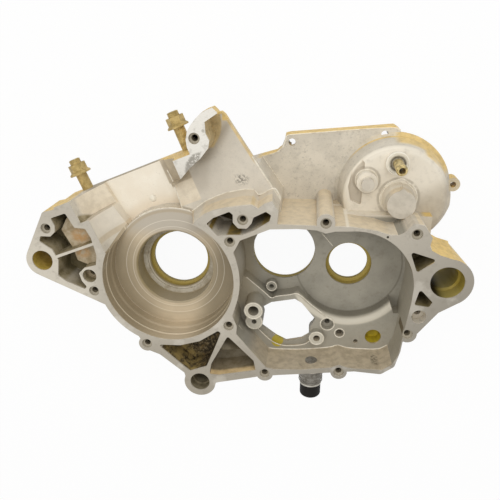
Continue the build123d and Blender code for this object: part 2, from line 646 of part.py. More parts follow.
    # nipple hole with the seat of its steel ring
    with BuildSketch(level(NIPPLE_BOSS_TOP)):
        with Locations(NIPPLE):
            Circle(SEAT_RING_R)
    extrude(amount=-SEAT_RING_THICK, mode=Mode.SUBTRACT)
    with BuildSketch(level(NIPPLE_BOSS_TOP)):
        with Locations(NIPPLE):
            Circle(NIPPLE_R)
    extrude(amount=-(BULGE_FACE + BULGE_WALL + 4 - NIPPLE_BOSS_TOP), mode=Mode.SUBTRACT)
    # split face screw holes with their mouths, and the dowel holes
    screws = [screw(name) for name in CASE_SCREWS]
    for centres, radius, depth in ((screws, SCREW_MOUTH_R, SCREW_MOUTH_DEPTH),
                                   (screws, SCREW_HOLE_R, SCREW_HOLE_DEPTH),
                                   (DOWELS, DOWEL_R, DOWEL_DEPTH), (DOWELS, 3.2, SCREW_HOLE_DEPTH)):
        with BuildSketch(level(0)):
            with Locations(*centres):
                Circle(radius)
        extrude(amount=-depth, mode=Mode.SUBTRACT)
    # swingarm pivot and engine mounts
    for centre, radius, depth in ((PIVOT, PIVOT_SEAT_R, PIVOT_SEAT_DEPTH),
                                  (PIVOT, PIVOT_HOLE_R, PIVOT_DEPTH + 1),
                                  (FRONT_MOUNT, FRONT_MOUNT_BORE_R, 55),
                                  (LOWER_MOUNT, LOWER_MOUNT_SEAT_R, LOWER_MOUNT_SEAT_DEPTH),
                                  (LOWER_MOUNT, LOWER_MOUNT_HOLE_R, 55)):
        with BuildSketch(level(0)):
            with Locations(centre):
                Circle(radius)
        extrude(amount=-depth, mode=Mode.SUBTRACT)
    # cylinder stud holes
    with BuildSketch(seat_plane(0, DECK_HEIGHT, STUD_DEPTH)):
        with Locations(*[(t, 0) for t, reach in STUDS.values()]):
            Circle(STUD_R + THREAD_CLEARANCE)
    extrude(amount=-STUD_SUNK - 2, mode=Mode.SUBTRACT)
    # seat and hole of the bottom fitting
    with BuildSketch(section(FITTING_SEAT_Y + 6)):
        with Locations((FITTING_X, -FITTING_DEPTH)):
            Circle(COLLAR_R + 1)
    extrude(amount=6)
    with BuildSketch(section(FITTING_SEAT_Y)):
        with Locations((FITTING_X, -FITTING_DEPTH)):
            Circle(SHANK_R + THREAD_CLEARANCE)
    extrude(amount=-14, mode=Mode.SUBTRACT)
    # clutch cover screws, plate holes and the lug hole
    with BuildSketch(level(COVER_FACE)):
        with Locations(*COVER_SCREWS):
            Circle(COVER_BOSS_R)
    extrude(amount=COVER_FACE - 64)
    with BuildSketch(level(COVER_FACE)):
        with Locations(*COVER_SCREWS):
            Circle(COVER_HOLE_R)
    extrude(amount=COVER_HOLE_DEPTH, mode=Mode.SUBTRACT)
    with BuildSketch(level(COVER_FACE)):
        with Locations(*PLATE_HOLES):
            Circle(PLATE_HOLE_R)
        with Locations(LUG_HOLE):
            Circle(LUG_HOLE_R)
    extrude(amount=COVER_FACE - PLATE_FRONT + 1, mode=Mode.SUBTRACT)

crankcase.part.label = "crankcase_casting"
export_step(crankcase.part, "parts/crankcase_casting.step")

# Cylinder studs and their flange nuts
for name, (t, reach) in STUDS.items():
    with BuildPart() as stud:
        with BuildSketch(seat_plane(t, DECK_HEIGHT - STUD_SUNK, STUD_DEPTH)):
            Circle(STUD_R)
        extrude(amount=STUD_SUNK + reach)
        chamfer(stud.edges().filter_by(GeomType.CIRCLE), 0.9)
    stud.part.label = "stud_" + name
    export_step(stud.part, "parts/stud_" + name + ".step")
    nut_plane = seat_plane(t, DECK_HEIGHT + reach - STUD_TIP_PROUD - NUT_HEIGHT, STUD_DEPTH)
    with BuildPart() as nut:
        with BuildSketch(nut_plane):
            Circle(NUT_FLANGE_R)
        extrude(amount=1.2)
        with BuildSketch(nut_plane.offset(1.2)):
            Circle(NUT_FLANGE_R)
        extrude(amount=2.2, taper=50)
        with BuildSketch(nut_plane):
            RegularPolygon(NUT_ACROSS_FLATS / 2, 6, major_radius=False, rotation=12)
        extrude(amount=NUT_HEIGHT)
        with BuildSketch(nut_plane):
            Circle(STUD_R + THREAD_CLEARANCE)
        extrude(amount=NUT_HEIGHT, mode=Mode.SUBTRACT)
    nut.part.label = "nut_" + name
    export_step(nut.part, "parts/nut_" + name + ".step")

# Brass nipple and the steel ring it sits in
with BuildPart() as nipple:
    with BuildSketch(section(NIPPLE[1])):
        with BuildLine():
            wall_in = NIPPLE[0] + NIPPLE_BORE_R
            wall_out = NIPPLE[0] + NIPPLE_R - RING_CLEARANCE
            Polyline((wall_in, -BULGE_FACE - 8), (wall_out, -BULGE_FACE - 8), (wall_out, -NIPPLE_TIP - 5),
                     (wall_out + 0.5, -NIPPLE_TIP - 4), (wall_out + 0.5, -NIPPLE_TIP - 2.5),
                     (wall_out - 0.6, -NIPPLE_TIP), (wall_in, -NIPPLE_TIP), close=True)
        make_face()
    revolve(axis=Axis((*NIPPLE, 0), (0, 0, 1)))
nipple.part.label = "vent_nipple"
export_step(nipple.part, "parts/vent_nipple.step")

with BuildPart() as seat_ring:
    with BuildSketch(level(NIPPLE_BOSS_TOP)):
        with Locations(NIPPLE):
            Circle(SEAT_RING_R - RING_CLEARANCE)
            Circle(NIPPLE_R, mode=Mode.SUBTRACT)
    extrude(amount=-SEAT_RING_THICK)
seat_ring.part.label = "nipple_seat_ring"
export_step(seat_ring.part, "parts/nipple_seat_ring.step")

# Bottom fitting: body, sealing ring and cap
collar_end = FITTING_SEAT_Y - COLLAR_LENGTH
fitting_axis = Axis((FITTING_X, 0, SPLIT_Z - FITTING_DEPTH), (0, 1, 0))
with BuildPart() as fitting_body:
    with BuildSketch(level(FITTING_DEPTH)):
        with BuildLine():
            Polyline((FITTING_X, FITTING_SEAT_Y + 8), (FITTING_X + SHANK_R, FITTING_SEAT_Y + 8),
                     (FITTING_X + SHANK_R, FITTING_SEAT_Y), (FITTING_X + COLLAR_R, FITTING_SEAT_Y),
                     (FITTING_X + COLLAR_R, FITTING_SEAT_Y - 8), (FITTING_X + COLLAR_R - 1.2, collar_end),
                     (FITTING_X, collar_end), close=True)
        make_face()
    revolve(axis=fitting_axis)
fitting_body.part.label = "fitting_body"
export_step(fitting_body.part, "parts/fitting_body.step")

with BuildPart() as fitting_ring:
    with BuildSketch(section(collar_end)):
        with Locations((FITTING_X, -FITTING_DEPTH)):
            Circle(CAP_R + 0.4)
            Circle(4.0, mode=Mode.SUBTRACT)
    extrude(amount=RING_THICK)
fitting_ring.part.label = "fitting_ring"
export_step(fitting_ring.part, "parts/fitting_ring.step")

with BuildPart() as fitting_cap:
    with BuildSketch(section(collar_end - RING_THICK)):
        with Locations((FITTING_X, -FITTING_DEPTH)):
            Circle(CAP_R)
    extrude(amount=CAP_LENGTH)
    fillet(fitting_cap.edges().sort_by(Axis.Y)[0], 3)
fitting_cap.part.label = "fitting_cap"
export_step(fitting_cap.part, "parts/fitting_cap.step")
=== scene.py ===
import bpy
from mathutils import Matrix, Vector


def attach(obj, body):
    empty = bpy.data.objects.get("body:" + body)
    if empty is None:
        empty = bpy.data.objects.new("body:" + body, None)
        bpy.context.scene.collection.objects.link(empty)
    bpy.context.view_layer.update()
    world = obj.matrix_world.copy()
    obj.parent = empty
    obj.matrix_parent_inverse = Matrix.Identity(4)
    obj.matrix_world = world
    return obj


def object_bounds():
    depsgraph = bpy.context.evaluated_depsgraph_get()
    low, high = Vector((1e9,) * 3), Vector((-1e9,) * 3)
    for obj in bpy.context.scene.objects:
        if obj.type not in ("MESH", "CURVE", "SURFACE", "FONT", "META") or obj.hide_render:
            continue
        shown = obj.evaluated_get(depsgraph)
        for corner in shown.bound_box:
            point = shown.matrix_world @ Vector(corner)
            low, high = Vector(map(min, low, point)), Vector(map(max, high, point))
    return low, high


bl_info = {
    "name": "Crankcase half finish",
    "version": (1, 0, 0),
    "blender": (4, 5, 0),
    "location": "View3D > Sidebar > Crankcase",
    "description": "Cast and machined finishes, threads, cast radii and the stage of a crankcase half",
    "category": "Object",
}

import math

import bpy
from bpy.props import FloatProperty, FloatVectorProperty, IntProperty, PointerProperty
from mathutils import Matrix, Vector

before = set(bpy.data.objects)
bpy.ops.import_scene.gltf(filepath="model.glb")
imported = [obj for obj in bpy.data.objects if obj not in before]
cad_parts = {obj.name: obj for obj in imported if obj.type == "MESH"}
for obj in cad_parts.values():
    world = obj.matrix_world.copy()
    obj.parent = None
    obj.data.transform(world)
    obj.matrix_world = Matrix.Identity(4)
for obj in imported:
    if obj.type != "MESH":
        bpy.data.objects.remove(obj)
CAD_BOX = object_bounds()

# Places shared with the part, in millimetres; depth is measured down from the split face
SPLIT_Z = 42.0
LEAN = math.radians(22)
DECK_HEIGHT = 97.0
STUD_DEPTH = 40.0
STUD_PLACES = {"front": (-47.0, 29.0), "rear": (55.5, 35.0)}
NUT_HEIGHT = 9.5
STUD_TIP = 4.5
SCREW_PLACES = ((-106.9, 45.9), (-68.7, -13.0), (-22.8, -65.0), (67.8, 59.7), (56.5, 39.4), (54.5, -42.3),
                (137.9, 58.9), (213.3, 51.9), (214.1, -42.0), (87.8, -90.6), (156.0, -84.5), (28.6, 127.7))
COVER_SCREW_PLACES = ((-61.5, 3), (-41, 49), (0, 73), (38, 81), (-41, -44.5), (4, -77), (45, -98.5),
                      (95, -110.5), (147, -108.5), (191, -91), (206, -56), (222, 14))
PIVOT = (242.7, 9.2)
FRONT_MOUNT = (-113.9, 15.2)
LOWER_MOUNT = (26.3, -103.7)
MAINSHAFT = (101.4, 14.0)
COUNTERSHAFT = (162.6, 2.0)
BULGE = (200.0, 68.5)
NIPPLE = (198.8, 101.0)
FITTING_X = 130.8
FITTING_DEPTH = 15.0
FITTING_SEAT_Y = -90.0
CAP_BOSS = (202.4, 68.8)
PIN_BOSS = (173.3, 84.5)
PLATE_LUG = (256.3, 74.2)
GEARBOX_MIDDLE = (140.0, -15.0)
TRANSFER_PAD = (-21.1, 63.0, 46.2)
CASE_THREAD_DEPTHS = (3.6, 20)
COVER_THREAD_DEPTHS = (94, 80)
COLLAR_REACH = (2.5, 12.5)

# Thread crests in metres
STUD_CREST = 0.00485
CASE_SCREW_CREST = 0.0029
COVER_SCREW_CREST = 0.0025
SCREW_FACETS = 20
COLLAR = {"Pitch": 0.0032, "Crest Radius": 0.0109, "Ridge Radius": 0.0004, "Facets": 40}

# Camera and lamps in metres
CAMERA_PLACE = (0.121504, 0.215988, 0.510179)
CAMERA_AXES = (Vector((0.99492494, 0.0, -0.10061990)),
               Vector((-0.03651802, 0.93181626, -0.36108849)),
               Vector((0.09375926, 0.36293038, 0.92708723)))
LAMP_AIM = Vector((0.07, 0.01, 0.0))
FLOOR_GAP = 0.0002

# Colours used more than once
GRIT = (0.28, 0.26, 0.22)
# Painted shade round and beside the bulge bosses
BOSS_SHADE = (0.44, 0.39, 0.31)
DULL_STEP = (0.48, 0.42, 0.33)
WHITE = (1, 1, 1, 1)


def seat(along, height):
    """Point along the cylinder seat and up the cylinder axis."""
    return (math.cos(LEAN) * along - math.sin(LEAN) * height,
            math.sin(LEAN) * along + math.cos(LEAN) * height)


def place(x, y, depth):
    """Point in metres from millimetres and a depth under the split face."""
    return Vector((x / 1000, y / 1000, (SPLIT_Z - depth) / 1000))


# Shader writing


class Signal:
    """A shader socket that can be used in sums, products and comparisons."""

    def __init__(self, finish, socket):
        self.finish = finish
        self.socket = socket

    def _math(self, operation, *values):
        inputs = {index: value for index, value in enumerate((self, *values))}
        return self.finish.value("ShaderNodeMath", {"operation": operation}, inputs)

    def __add__(self, other):
        return self._math("ADD", other)

    __radd__ = __add__

    def __sub__(self, other):
        return self._math("SUBTRACT", other)

    def __rsub__(self, other):
        return (self * -1.0) + other

    def __mul__(self, other):
        return self._math("MULTIPLY", other)

    __rmul__ = __mul__

    def larger(self, other):
        return self._math("MAXIMUM", other)

    def smaller(self, other):
        return self._math("MINIMUM", other)

    def root(self):
        return self._math("SQRT")

    def wave(self):
        return self._math("SINE")

    def rise(self, low, high):
        """0 below low, 1 above high, smooth between; low may be the larger."""
        if low > high:
            return 1.0 - self.rise(high, low)
        return self.finish.value("ShaderNodeMapRange",
                                 {"interpolation_type": "SMOOTHSTEP"},
                                 {"Value": self, "From Min": low, "From Max": high})

    def between(self, low, high, soft):
        """1 between low and high, with soft edges."""
        return self.rise(low - soft, low + soft) * self.rise(high + soft, high - soft)


def add_node(tree, kind, settings=None, inputs=None):
    """One node: its type, its settings, then the values or links of its sockets."""
    made = tree.nodes.new(kind)
    for key, value in (settings or {}).items():
        setattr(made, key, value)
    for key, value in (inputs or {}).items():
        source = value.socket if isinstance(value, Signal) else value
        if isinstance(source, bpy.types.NodeSocket):
            tree.links.new(source, made.inputs[key])
        else:
            made.inputs[key].default_value = source
    return made


class Finish:
    """A material that is being written."""

    def __init__(self, name):
        self.material = bpy.data.materials.new(name)
        self.material.use_nodes = True
        self.tree = self.material.node_tree
        self.tree.nodes.clear()
        coords = self.node("ShaderNodeTexCoord")
        self.point = self.node("ShaderNodeVectorMath", {"operation": "SCALE"},
                               {0: coords.outputs["Object"], "Scale": 1000.0}).outputs[0]
        split = self.node("ShaderNodeSeparateXYZ", None, {0: self.point})
        self.x, self.y, self.z = (Signal(self, split.outputs[i]) for i in range(3))
        self.depth = SPLIT_Z - self.z
        facing = self.node("ShaderNodeSeparateXYZ", None,
                           {0: self.node("ShaderNodeNewGeometry").outputs["Normal"]})
        self.nx, self.ny, self.nz = (Signal(self, facing.outputs[i]) for i in range(3))

    def node(self, kind, settings=None, inputs=None):
        return add_node(self.tree, kind, settings, inputs)

    def value(self, kind, settings=None, inputs=None):
        """First output of a new node."""
        return Signal(self, self.node(kind, settings, inputs).outputs[0])

    def mix(self, factor, first, second):
        """Colour between first and second."""
        first, second = (end if isinstance(end, Signal) else (*end, 1.0) for end in (first, second))
        made = self.node("ShaderNodeMix", {"data_type": "RGBA", "clamp_factor": True},
                         {0: factor, 6: first, 7: second})
        return Signal(self, made.outputs[2])

    def noise(self, size, detail=3.0, rough=0.55, stretch=(1, 1, 1), turn=(0, 0, 0)):
        """Cloudy pattern, its patches about size millimetres across."""
        scale = tuple(share / size for share in stretch)
        mapped = self.node("ShaderNodeMapping", None,
                           {"Vector": self.point, "Rotation": turn, "Scale": scale})
        return self.value("ShaderNodeTexNoise", None,
                          {"Vector": mapped.outputs[0], "Scale": 1.0, "Detail": detail, "Roughness": rough})

    def radius(self, centre):
        """Distance from a line along Z."""
        dx = self.x - centre[0]
        dy = self.y - centre[1]
        return (dx * dx + dy * dy).root()

    def spot(self, centre, inner, outer, squash=1.0):
        """1 within an ellipse round a point of the split face, 0 outside."""
        dx = self.x - centre[0]
        dy = (self.y - centre[1]) * (1 / squash)
        return (dx * dx + dy * dy).root().rise(outer, inner)

    def side(self, first, second, soft=1.5):
        """1 on the left of the line from first to second, in plan."""
        dx, dy = second[0] - first[0], second[1] - first[1]
        size = math.hypot(dx, dy)
        distance = (self.y - first[1]) * (dx / size) - (self.x - first[0]) * (dy / size)
        return distance.rise(-soft, soft)

    def inside(self, corners, soft=1.5):
        """1 inside a convex outline whose corners run counterclockwise."""
        mask = None
        for first, second in zip(corners, corners[1:] + corners[:1]):
            step = self.side(first, second, soft)
            mask = step if mask is None else mask * step
        return mask

    def shader(self, base, roughness, metallic=0.0, bump=None, bump_height=0.0002, **constants):
        """Principled shader of one region."""
        inputs = {"Base Color": base, "Roughness": roughness, "Metallic": metallic}
        if bump is not None:
            relief = self.node("ShaderNodeBump", None,
                               {"Strength": 1.0, "Distance": bump_height, "Height": bump})
            inputs["Normal"] = relief.outputs[0]
        inputs.update(constants)
        return self.node("ShaderNodeBsdfPrincipled", None, inputs).outputs[0]

    def join(self, mask, below, above):
        """Shader above where the mask is 1."""
        return self.node("ShaderNodeMixShader", None, {0: mask, 1: below, 2: above}).outputs[0]

    def finish(self, shader):
        self.node("ShaderNodeOutputMaterial", None, {"Surface": shader})
        return self.material


# Settings


def colour_setting(name, description, default):
    return FloatVectorProperty(name=name, description=description, default=default, size=3, min=0.0, max=1.0,
                               subtype="COLOR")


class CrankcaseColours(bpy.types.PropertyGroup):
    """Colours of the casting and its fittings."""

    cast_skin: colour_setting("Cast skin", "Bright cast aluminium", (0.72, 0.665, 0.565))
    machined: colour_setting("Machined face", "Milled split face", (0.50, 0.46, 0.39))
    turned: colour_setting("Turned wall", "Turned wall and floor of the crank chamber", (0.68, 0.565, 0.40))
    oiled: colour_setting("Oiled skin", "Oil stained skin inside the gearbox", (0.31, 0.29, 0.24))
    # Near-black painted shade deep in the pockets of the split face
    pocket_shade: colour_setting("Varnish", "Baked oil deep in pockets and bores", (0.042, 0.030, 0.010))
    amber: colour_setting("Amber film", "Warm film on faces that look up", (0.86, 0.61, 0.20))
    zinc: colour_setting("Yellow zinc", "Plating of studs and nuts", (0.56, 0.42, 0.17))
    brass: colour_setting("Brass", "Vent nipple", (0.80, 0.64, 0.30))
    plated: colour_setting("Plated steel", "Body of the bottom fitting", (0.30, 0.285, 0.255))


class CrankcaseSizes(bpy.types.PropertyGroup):
    """Sizes of threads and cast radii."""

    stud_pitch: FloatProperty(name="Stud pitch", description="Distance between thread crests of the studs",
                              default=0.00125, min=0.0005, unit="LENGTH")
    screw_pitch: FloatProperty(name="Screw pitch",
                               description="Distance between thread crests in the screw holes",
                               default=0.001, min=0.0005, unit="LENGTH")
    thread_ridge: FloatProperty(name="Thread ridge", description="Radius of a thread crest",
                                default=0.00036, min=0.0001, unit="LENGTH")
    thread_facets: IntProperty(name="Thread facets", description="Facets round one thread crest",
                               default=28, min=12, max=64)
    cast_radius: FloatProperty(name="Cast radius", description="Radius of the bead along cast edges",
                               default=0.0008, min=0.0002, unit="LENGTH")


class CrankcaseStage(bpy.types.PropertyGroup):
    """Camera, floor and lamps."""

    lens: FloatProperty(name="Lens", description="Focal length on a 36 mm sensor", default=42.264, min=10.0)
    floor_size: FloatProperty(name="Floor", description="Width of the floor", default=4.0, unit="LENGTH")
    key_power: FloatProperty(name="Key lamp", description="Power of the large lamp above",
                             default=4.9, min=0.0)
    fill_power: FloatProperty(name="Fill lamp", description="Power of the lamp beside the camera",
                              default=2.4, min=0.0)
    sky: FloatProperty(name="Sky", description="Strength of the even light", default=0.57, min=0.0)


# Pieces from paths


def group_tree(name, inputs):
    """Empty geometry tree with named inputs."""
    tree = bpy.data.node_groups.new(name, "GeometryNodeTree")
    tree.interface.new_socket("Geometry", in_out="INPUT", socket_type="NodeSocketGeometry")
    for label, kind in inputs:
        tree.interface.new_socket(label, in_out="INPUT", socket_type=kind)
    tree.interface.new_socket("Geometry", in_out="OUTPUT", socket_type="NodeSocketGeometry")
    return tree


def close_tree(tree, source, geometry):
    """Ends a tree with plain geometry in the material that it is given."""
    real = add_node(tree, "GeometryNodeRealizeInstances", None, {"Geometry": geometry})
    painted = add_node(tree, "GeometryNodeSetMaterial", None,
                       {"Geometry": real.outputs[0], "Material": source.outputs["Material"]})
    add_node(tree, "NodeGroupOutput", None, {0: painted.outputs[0]})
    return tree


def ridge_tree():
    """Rings along each line: the crests of a thread."""
    tree = group_tree("Thread crests", (("Pitch", "NodeSocketFloat"), ("Crest Radius", "NodeSocketFloat"),
                                        ("Ridge Radius", "NodeSocketFloat"), ("Facets", "NodeSocketInt"),
                                        ("Material", "NodeSocketMaterial")))
    source = add_node(tree, "NodeGroupInput")
    line = add_node(tree, "GeometryNodeMeshToCurve", None, {"Mesh": source.outputs["Geometry"]})
    points = add_node(tree, "GeometryNodeCurveToPoints", {"mode": "LENGTH"},
                      {"Curve": line.outputs[0], "Length": source.outputs["Pitch"]})
    crest = add_node(tree, "GeometryNodeCurvePrimitiveCircle", None,
                     {"Radius": source.outputs["Crest Radius"], "Resolution": source.outputs["Facets"]})
    profile = add_node(tree, "GeometryNodeCurvePrimitiveCircle", None,
                       {"Radius": source.outputs["Ridge Radius"], "Resolution": 4})
    ring = add_node(tree, "GeometryNodeCurveToMesh", None,
                    {"Curve": crest.outputs[0], "Profile Curve": profile.outputs[0]})
    rings = add_node(tree, "GeometryNodeInstanceOnPoints", None,
                     {"Points": points.outputs["Points"], "Instance": ring.outputs[0],
                      "Rotation": points.outputs["Rotation"]})
    return close_tree(tree, source, rings.outputs[0])


def bead_tree():
    """Round bead along each line: the small radius of a cast edge."""
    tree = group_tree("Cast beads", (("Bead Radius", "NodeSocketFloat"), ("Material", "NodeSocketMaterial")))
    source = add_node(tree, "NodeGroupInput")
    line = add_node(tree, "GeometryNodeMeshToCurve", None, {"Mesh": source.outputs["Geometry"]})
    profile = add_node(tree, "GeometryNodeCurvePrimitiveCircle", None,
                       {"Radius": source.outputs["Bead Radius"], "Resolution": 8})
    bead = add_node(tree, "GeometryNodeCurveToMesh", None,
                    {"Curve": line.outputs[0], "Profile Curve": profile.outputs[0], "Fill Caps": True})
    smooth = add_node(tree, "GeometryNodeSetShadeSmooth", None, {"Geometry": bead.outputs[0]})
    return close_tree(tree, source, smooth.outputs[0])


def path_mesh(name, paths):
    """Object of bare edges along the paths, in metres."""
    points, edges = [], []
    for path in paths:
        start = len(points)
        points += [tuple(point) for point in path]
        edges += [(start + i, start + i + 1) for i in range(len(path) - 1)]
    mesh = bpy.data.meshes.new(name)
    mesh.from_pydata(points, edges, [])
    made = bpy.data.objects.new(name, mesh)
    bpy.context.collection.objects.link(made)
    return made


def grow(name, paths, tree, values, material):
    """Plain mesh that the tree makes along the paths, riding on the root body."""
    guide = path_mesh(name + "_guide", paths)
    modifier = guide.modifiers.new("Grow", "NODES")
    modifier.node_group = tree
    values = {**values, "Material": material}
    for item in tree.interface.items_tree:
        if item.item_type == "SOCKET" and item.in_out == "INPUT" and item.name in values:
            modifier[item.identifier] = values[item.name]
    bpy.context.view_layer.update()
    grown = guide.evaluated_get(bpy.context.evaluated_depsgraph_get())
    mesh = bpy.data.meshes.new_from_object(grown)
    mesh.name = name
    guide.modifiers.clear()
    bpy.data.objects.remove(guide)
    mesh.materials.clear()
    mesh.materials.append(material)
    made = bpy.data.objects.new(name, mesh)
    bpy.context.collection.objects.link(made)
    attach(made, "root")
    return made


def arc(centre, radius, first, last, depth, steps=36):
    """Points of an arc in plan, its angles in degrees."""
    turns = [math.radians(first + (last - first) * i / steps) for i in range(steps + 1)]
    return [(centre[0] + radius * math.cos(t), centre[1] + radius * math.sin(t), depth) for t in turns]


def at_depth(depth, *points):
    return [(x, y, depth) for x, y in points]


def smooth_path(points):
    """Two rounds of corner cutting that keep the ends."""
    for _ in range(2):
        cut = [points[0]]
        for first, second in zip(points, points[1:]):
            cut += [first.lerp(second, 0.22), first.lerp(second, 0.78)]
        points = cut + [points[-1]]
    return points


def dome(name, centre, radius, height):
    """Low round pad standing on a floor."""
    rings, sides = 5, 28
    points, faces = [], []
    for ring in range(rings):
        tilt = math.radians(90 * ring / rings)
        for side in range(sides):
            turn = 2 * math.pi * side / sides
            points.append(tuple(place(centre[0] + radius * math.cos(tilt) * math.cos(turn),
                                      centre[1] + radius * math.cos(tilt) * math.sin(turn),
                                      centre[2] - height * math.sin(tilt))))
    points.append(tuple(place(centre[0], centre[1], centre[2] - height)))
    for ring in range(rings - 1):
        for side in range(sides):
            a, b = ring * sides + side, ring * sides + (side + 1) % sides
            faces.append((a, b, b + sides, a + sides))
    last = (rings - 1) * sides
    faces += [(last + side, last + (side + 1) % sides, len(points) - 1) for side in range(sides)]
    faces.append(tuple(reversed(range(sides))))
    mesh = bpy.data.meshes.new(name)
    mesh.from_pydata(points, [], faces)
    mesh.shade_smooth()
    made = bpy.data.objects.new(name, mesh)
    bpy.context.collection.objects.link(made)
    return made


# Light rims of the bosses in the gearbox, painted highlight with some rubbed wear: place, radius and depth
BOSS_RIMS = ((76.0, -32.0, 7.9, 12.1), (75.5, -50.0, 7.4, 25.1), (135.2, -67.0, 6.6, 29.1),
             (145.0, -54.7, 6.7, 36.1), (157.1, -63.8, 4.7, 36.1), (90.5, -21.0, 4.7, 44.1))

# Cast edges, in millimetres and depth
FINE_EDGES = (
    arc((0, 0), 58.5, 122, 74, 32.1),
    at_depth(36.2, (67, -9), (84, -23.5), (91, -30.5), (95.5, -27.5), (108.5, -25.5), (116, -23),
             (127.8, -34.1), (139.6, -43.3), (150.4, -51.6)),
    at_depth(36.3, (73, -58), (92, -77.5), (104, -81.5), (124, -79), (131, -72)),
    arc(NIPPLE, 9.1, 0, 360, 43.1, 40),
    arc(PIN_BOSS, 9.8, -10, 235, 48.2, 30),
    [(77.8, 97.6, 79.6), (88, 83.2, 79.6), (98.6, 68.2, 79.6)],
    at_depth(34.1, (9.4, 55.5), (1.7, 82.6), (-3.5, 93)),
    at_depth(52.1, (136.4, 32), (141.3, 26.2), (147.2, 19.5)),
    [(142, 56.6, 62), (175, 56.4, 62), (192, 56.2, 60)],
    *[arc((x, y), radius, 0, 360, depth, 26) for x, y, radius, depth in BOSS_RIMS],
)
FULL_EDGES = (
    at_depth(34.2, (17.7, 55), (30, 64.7), (39, 69.2), (48.3, 73.2), (66.3, 77.3), (74.3, 77.1), (78.8, 71.3),
             (88.5, 77.5), (93.5, 79), (98, 69.5)),
    at_depth(36.4, (89, -84.2), (96, -85), (121, -84), (148.5, -80.2), (156, -76.8), (163.5, -79.2),
             (170, -80), (195, -79.8), (203, -74.5)),
    arc(BULGE, 50.8, 92, 182, 79.6, 48),
    arc(CAP_BOSS, 16.2, 62, -72, 48.2, 30)[::-1] + [(204.5, 87.2, 48.2)]
    + arc(CAP_BOSS, 16.2, 112, 205, 48.2, 24),
    at_depth(80.2, (79, 97.2), (91.5, 100.9), (96.6, 105), (99.2, 112), (100.4, 117.0), (104, 118),
             (199, 126.8), (203.6, 123.4)),
    at_depth(34.3, (72.5, 106.6), (98, 68.0)),
)


def dress(node, material):
    """Gives a carried-over node its material."""
    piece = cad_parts[node]
    if not piece.material_slots:
        piece.data.materials.append(material)
    for slot in piece.material_slots:
        slot.link = "OBJECT"
        slot.material = material


# Finishes


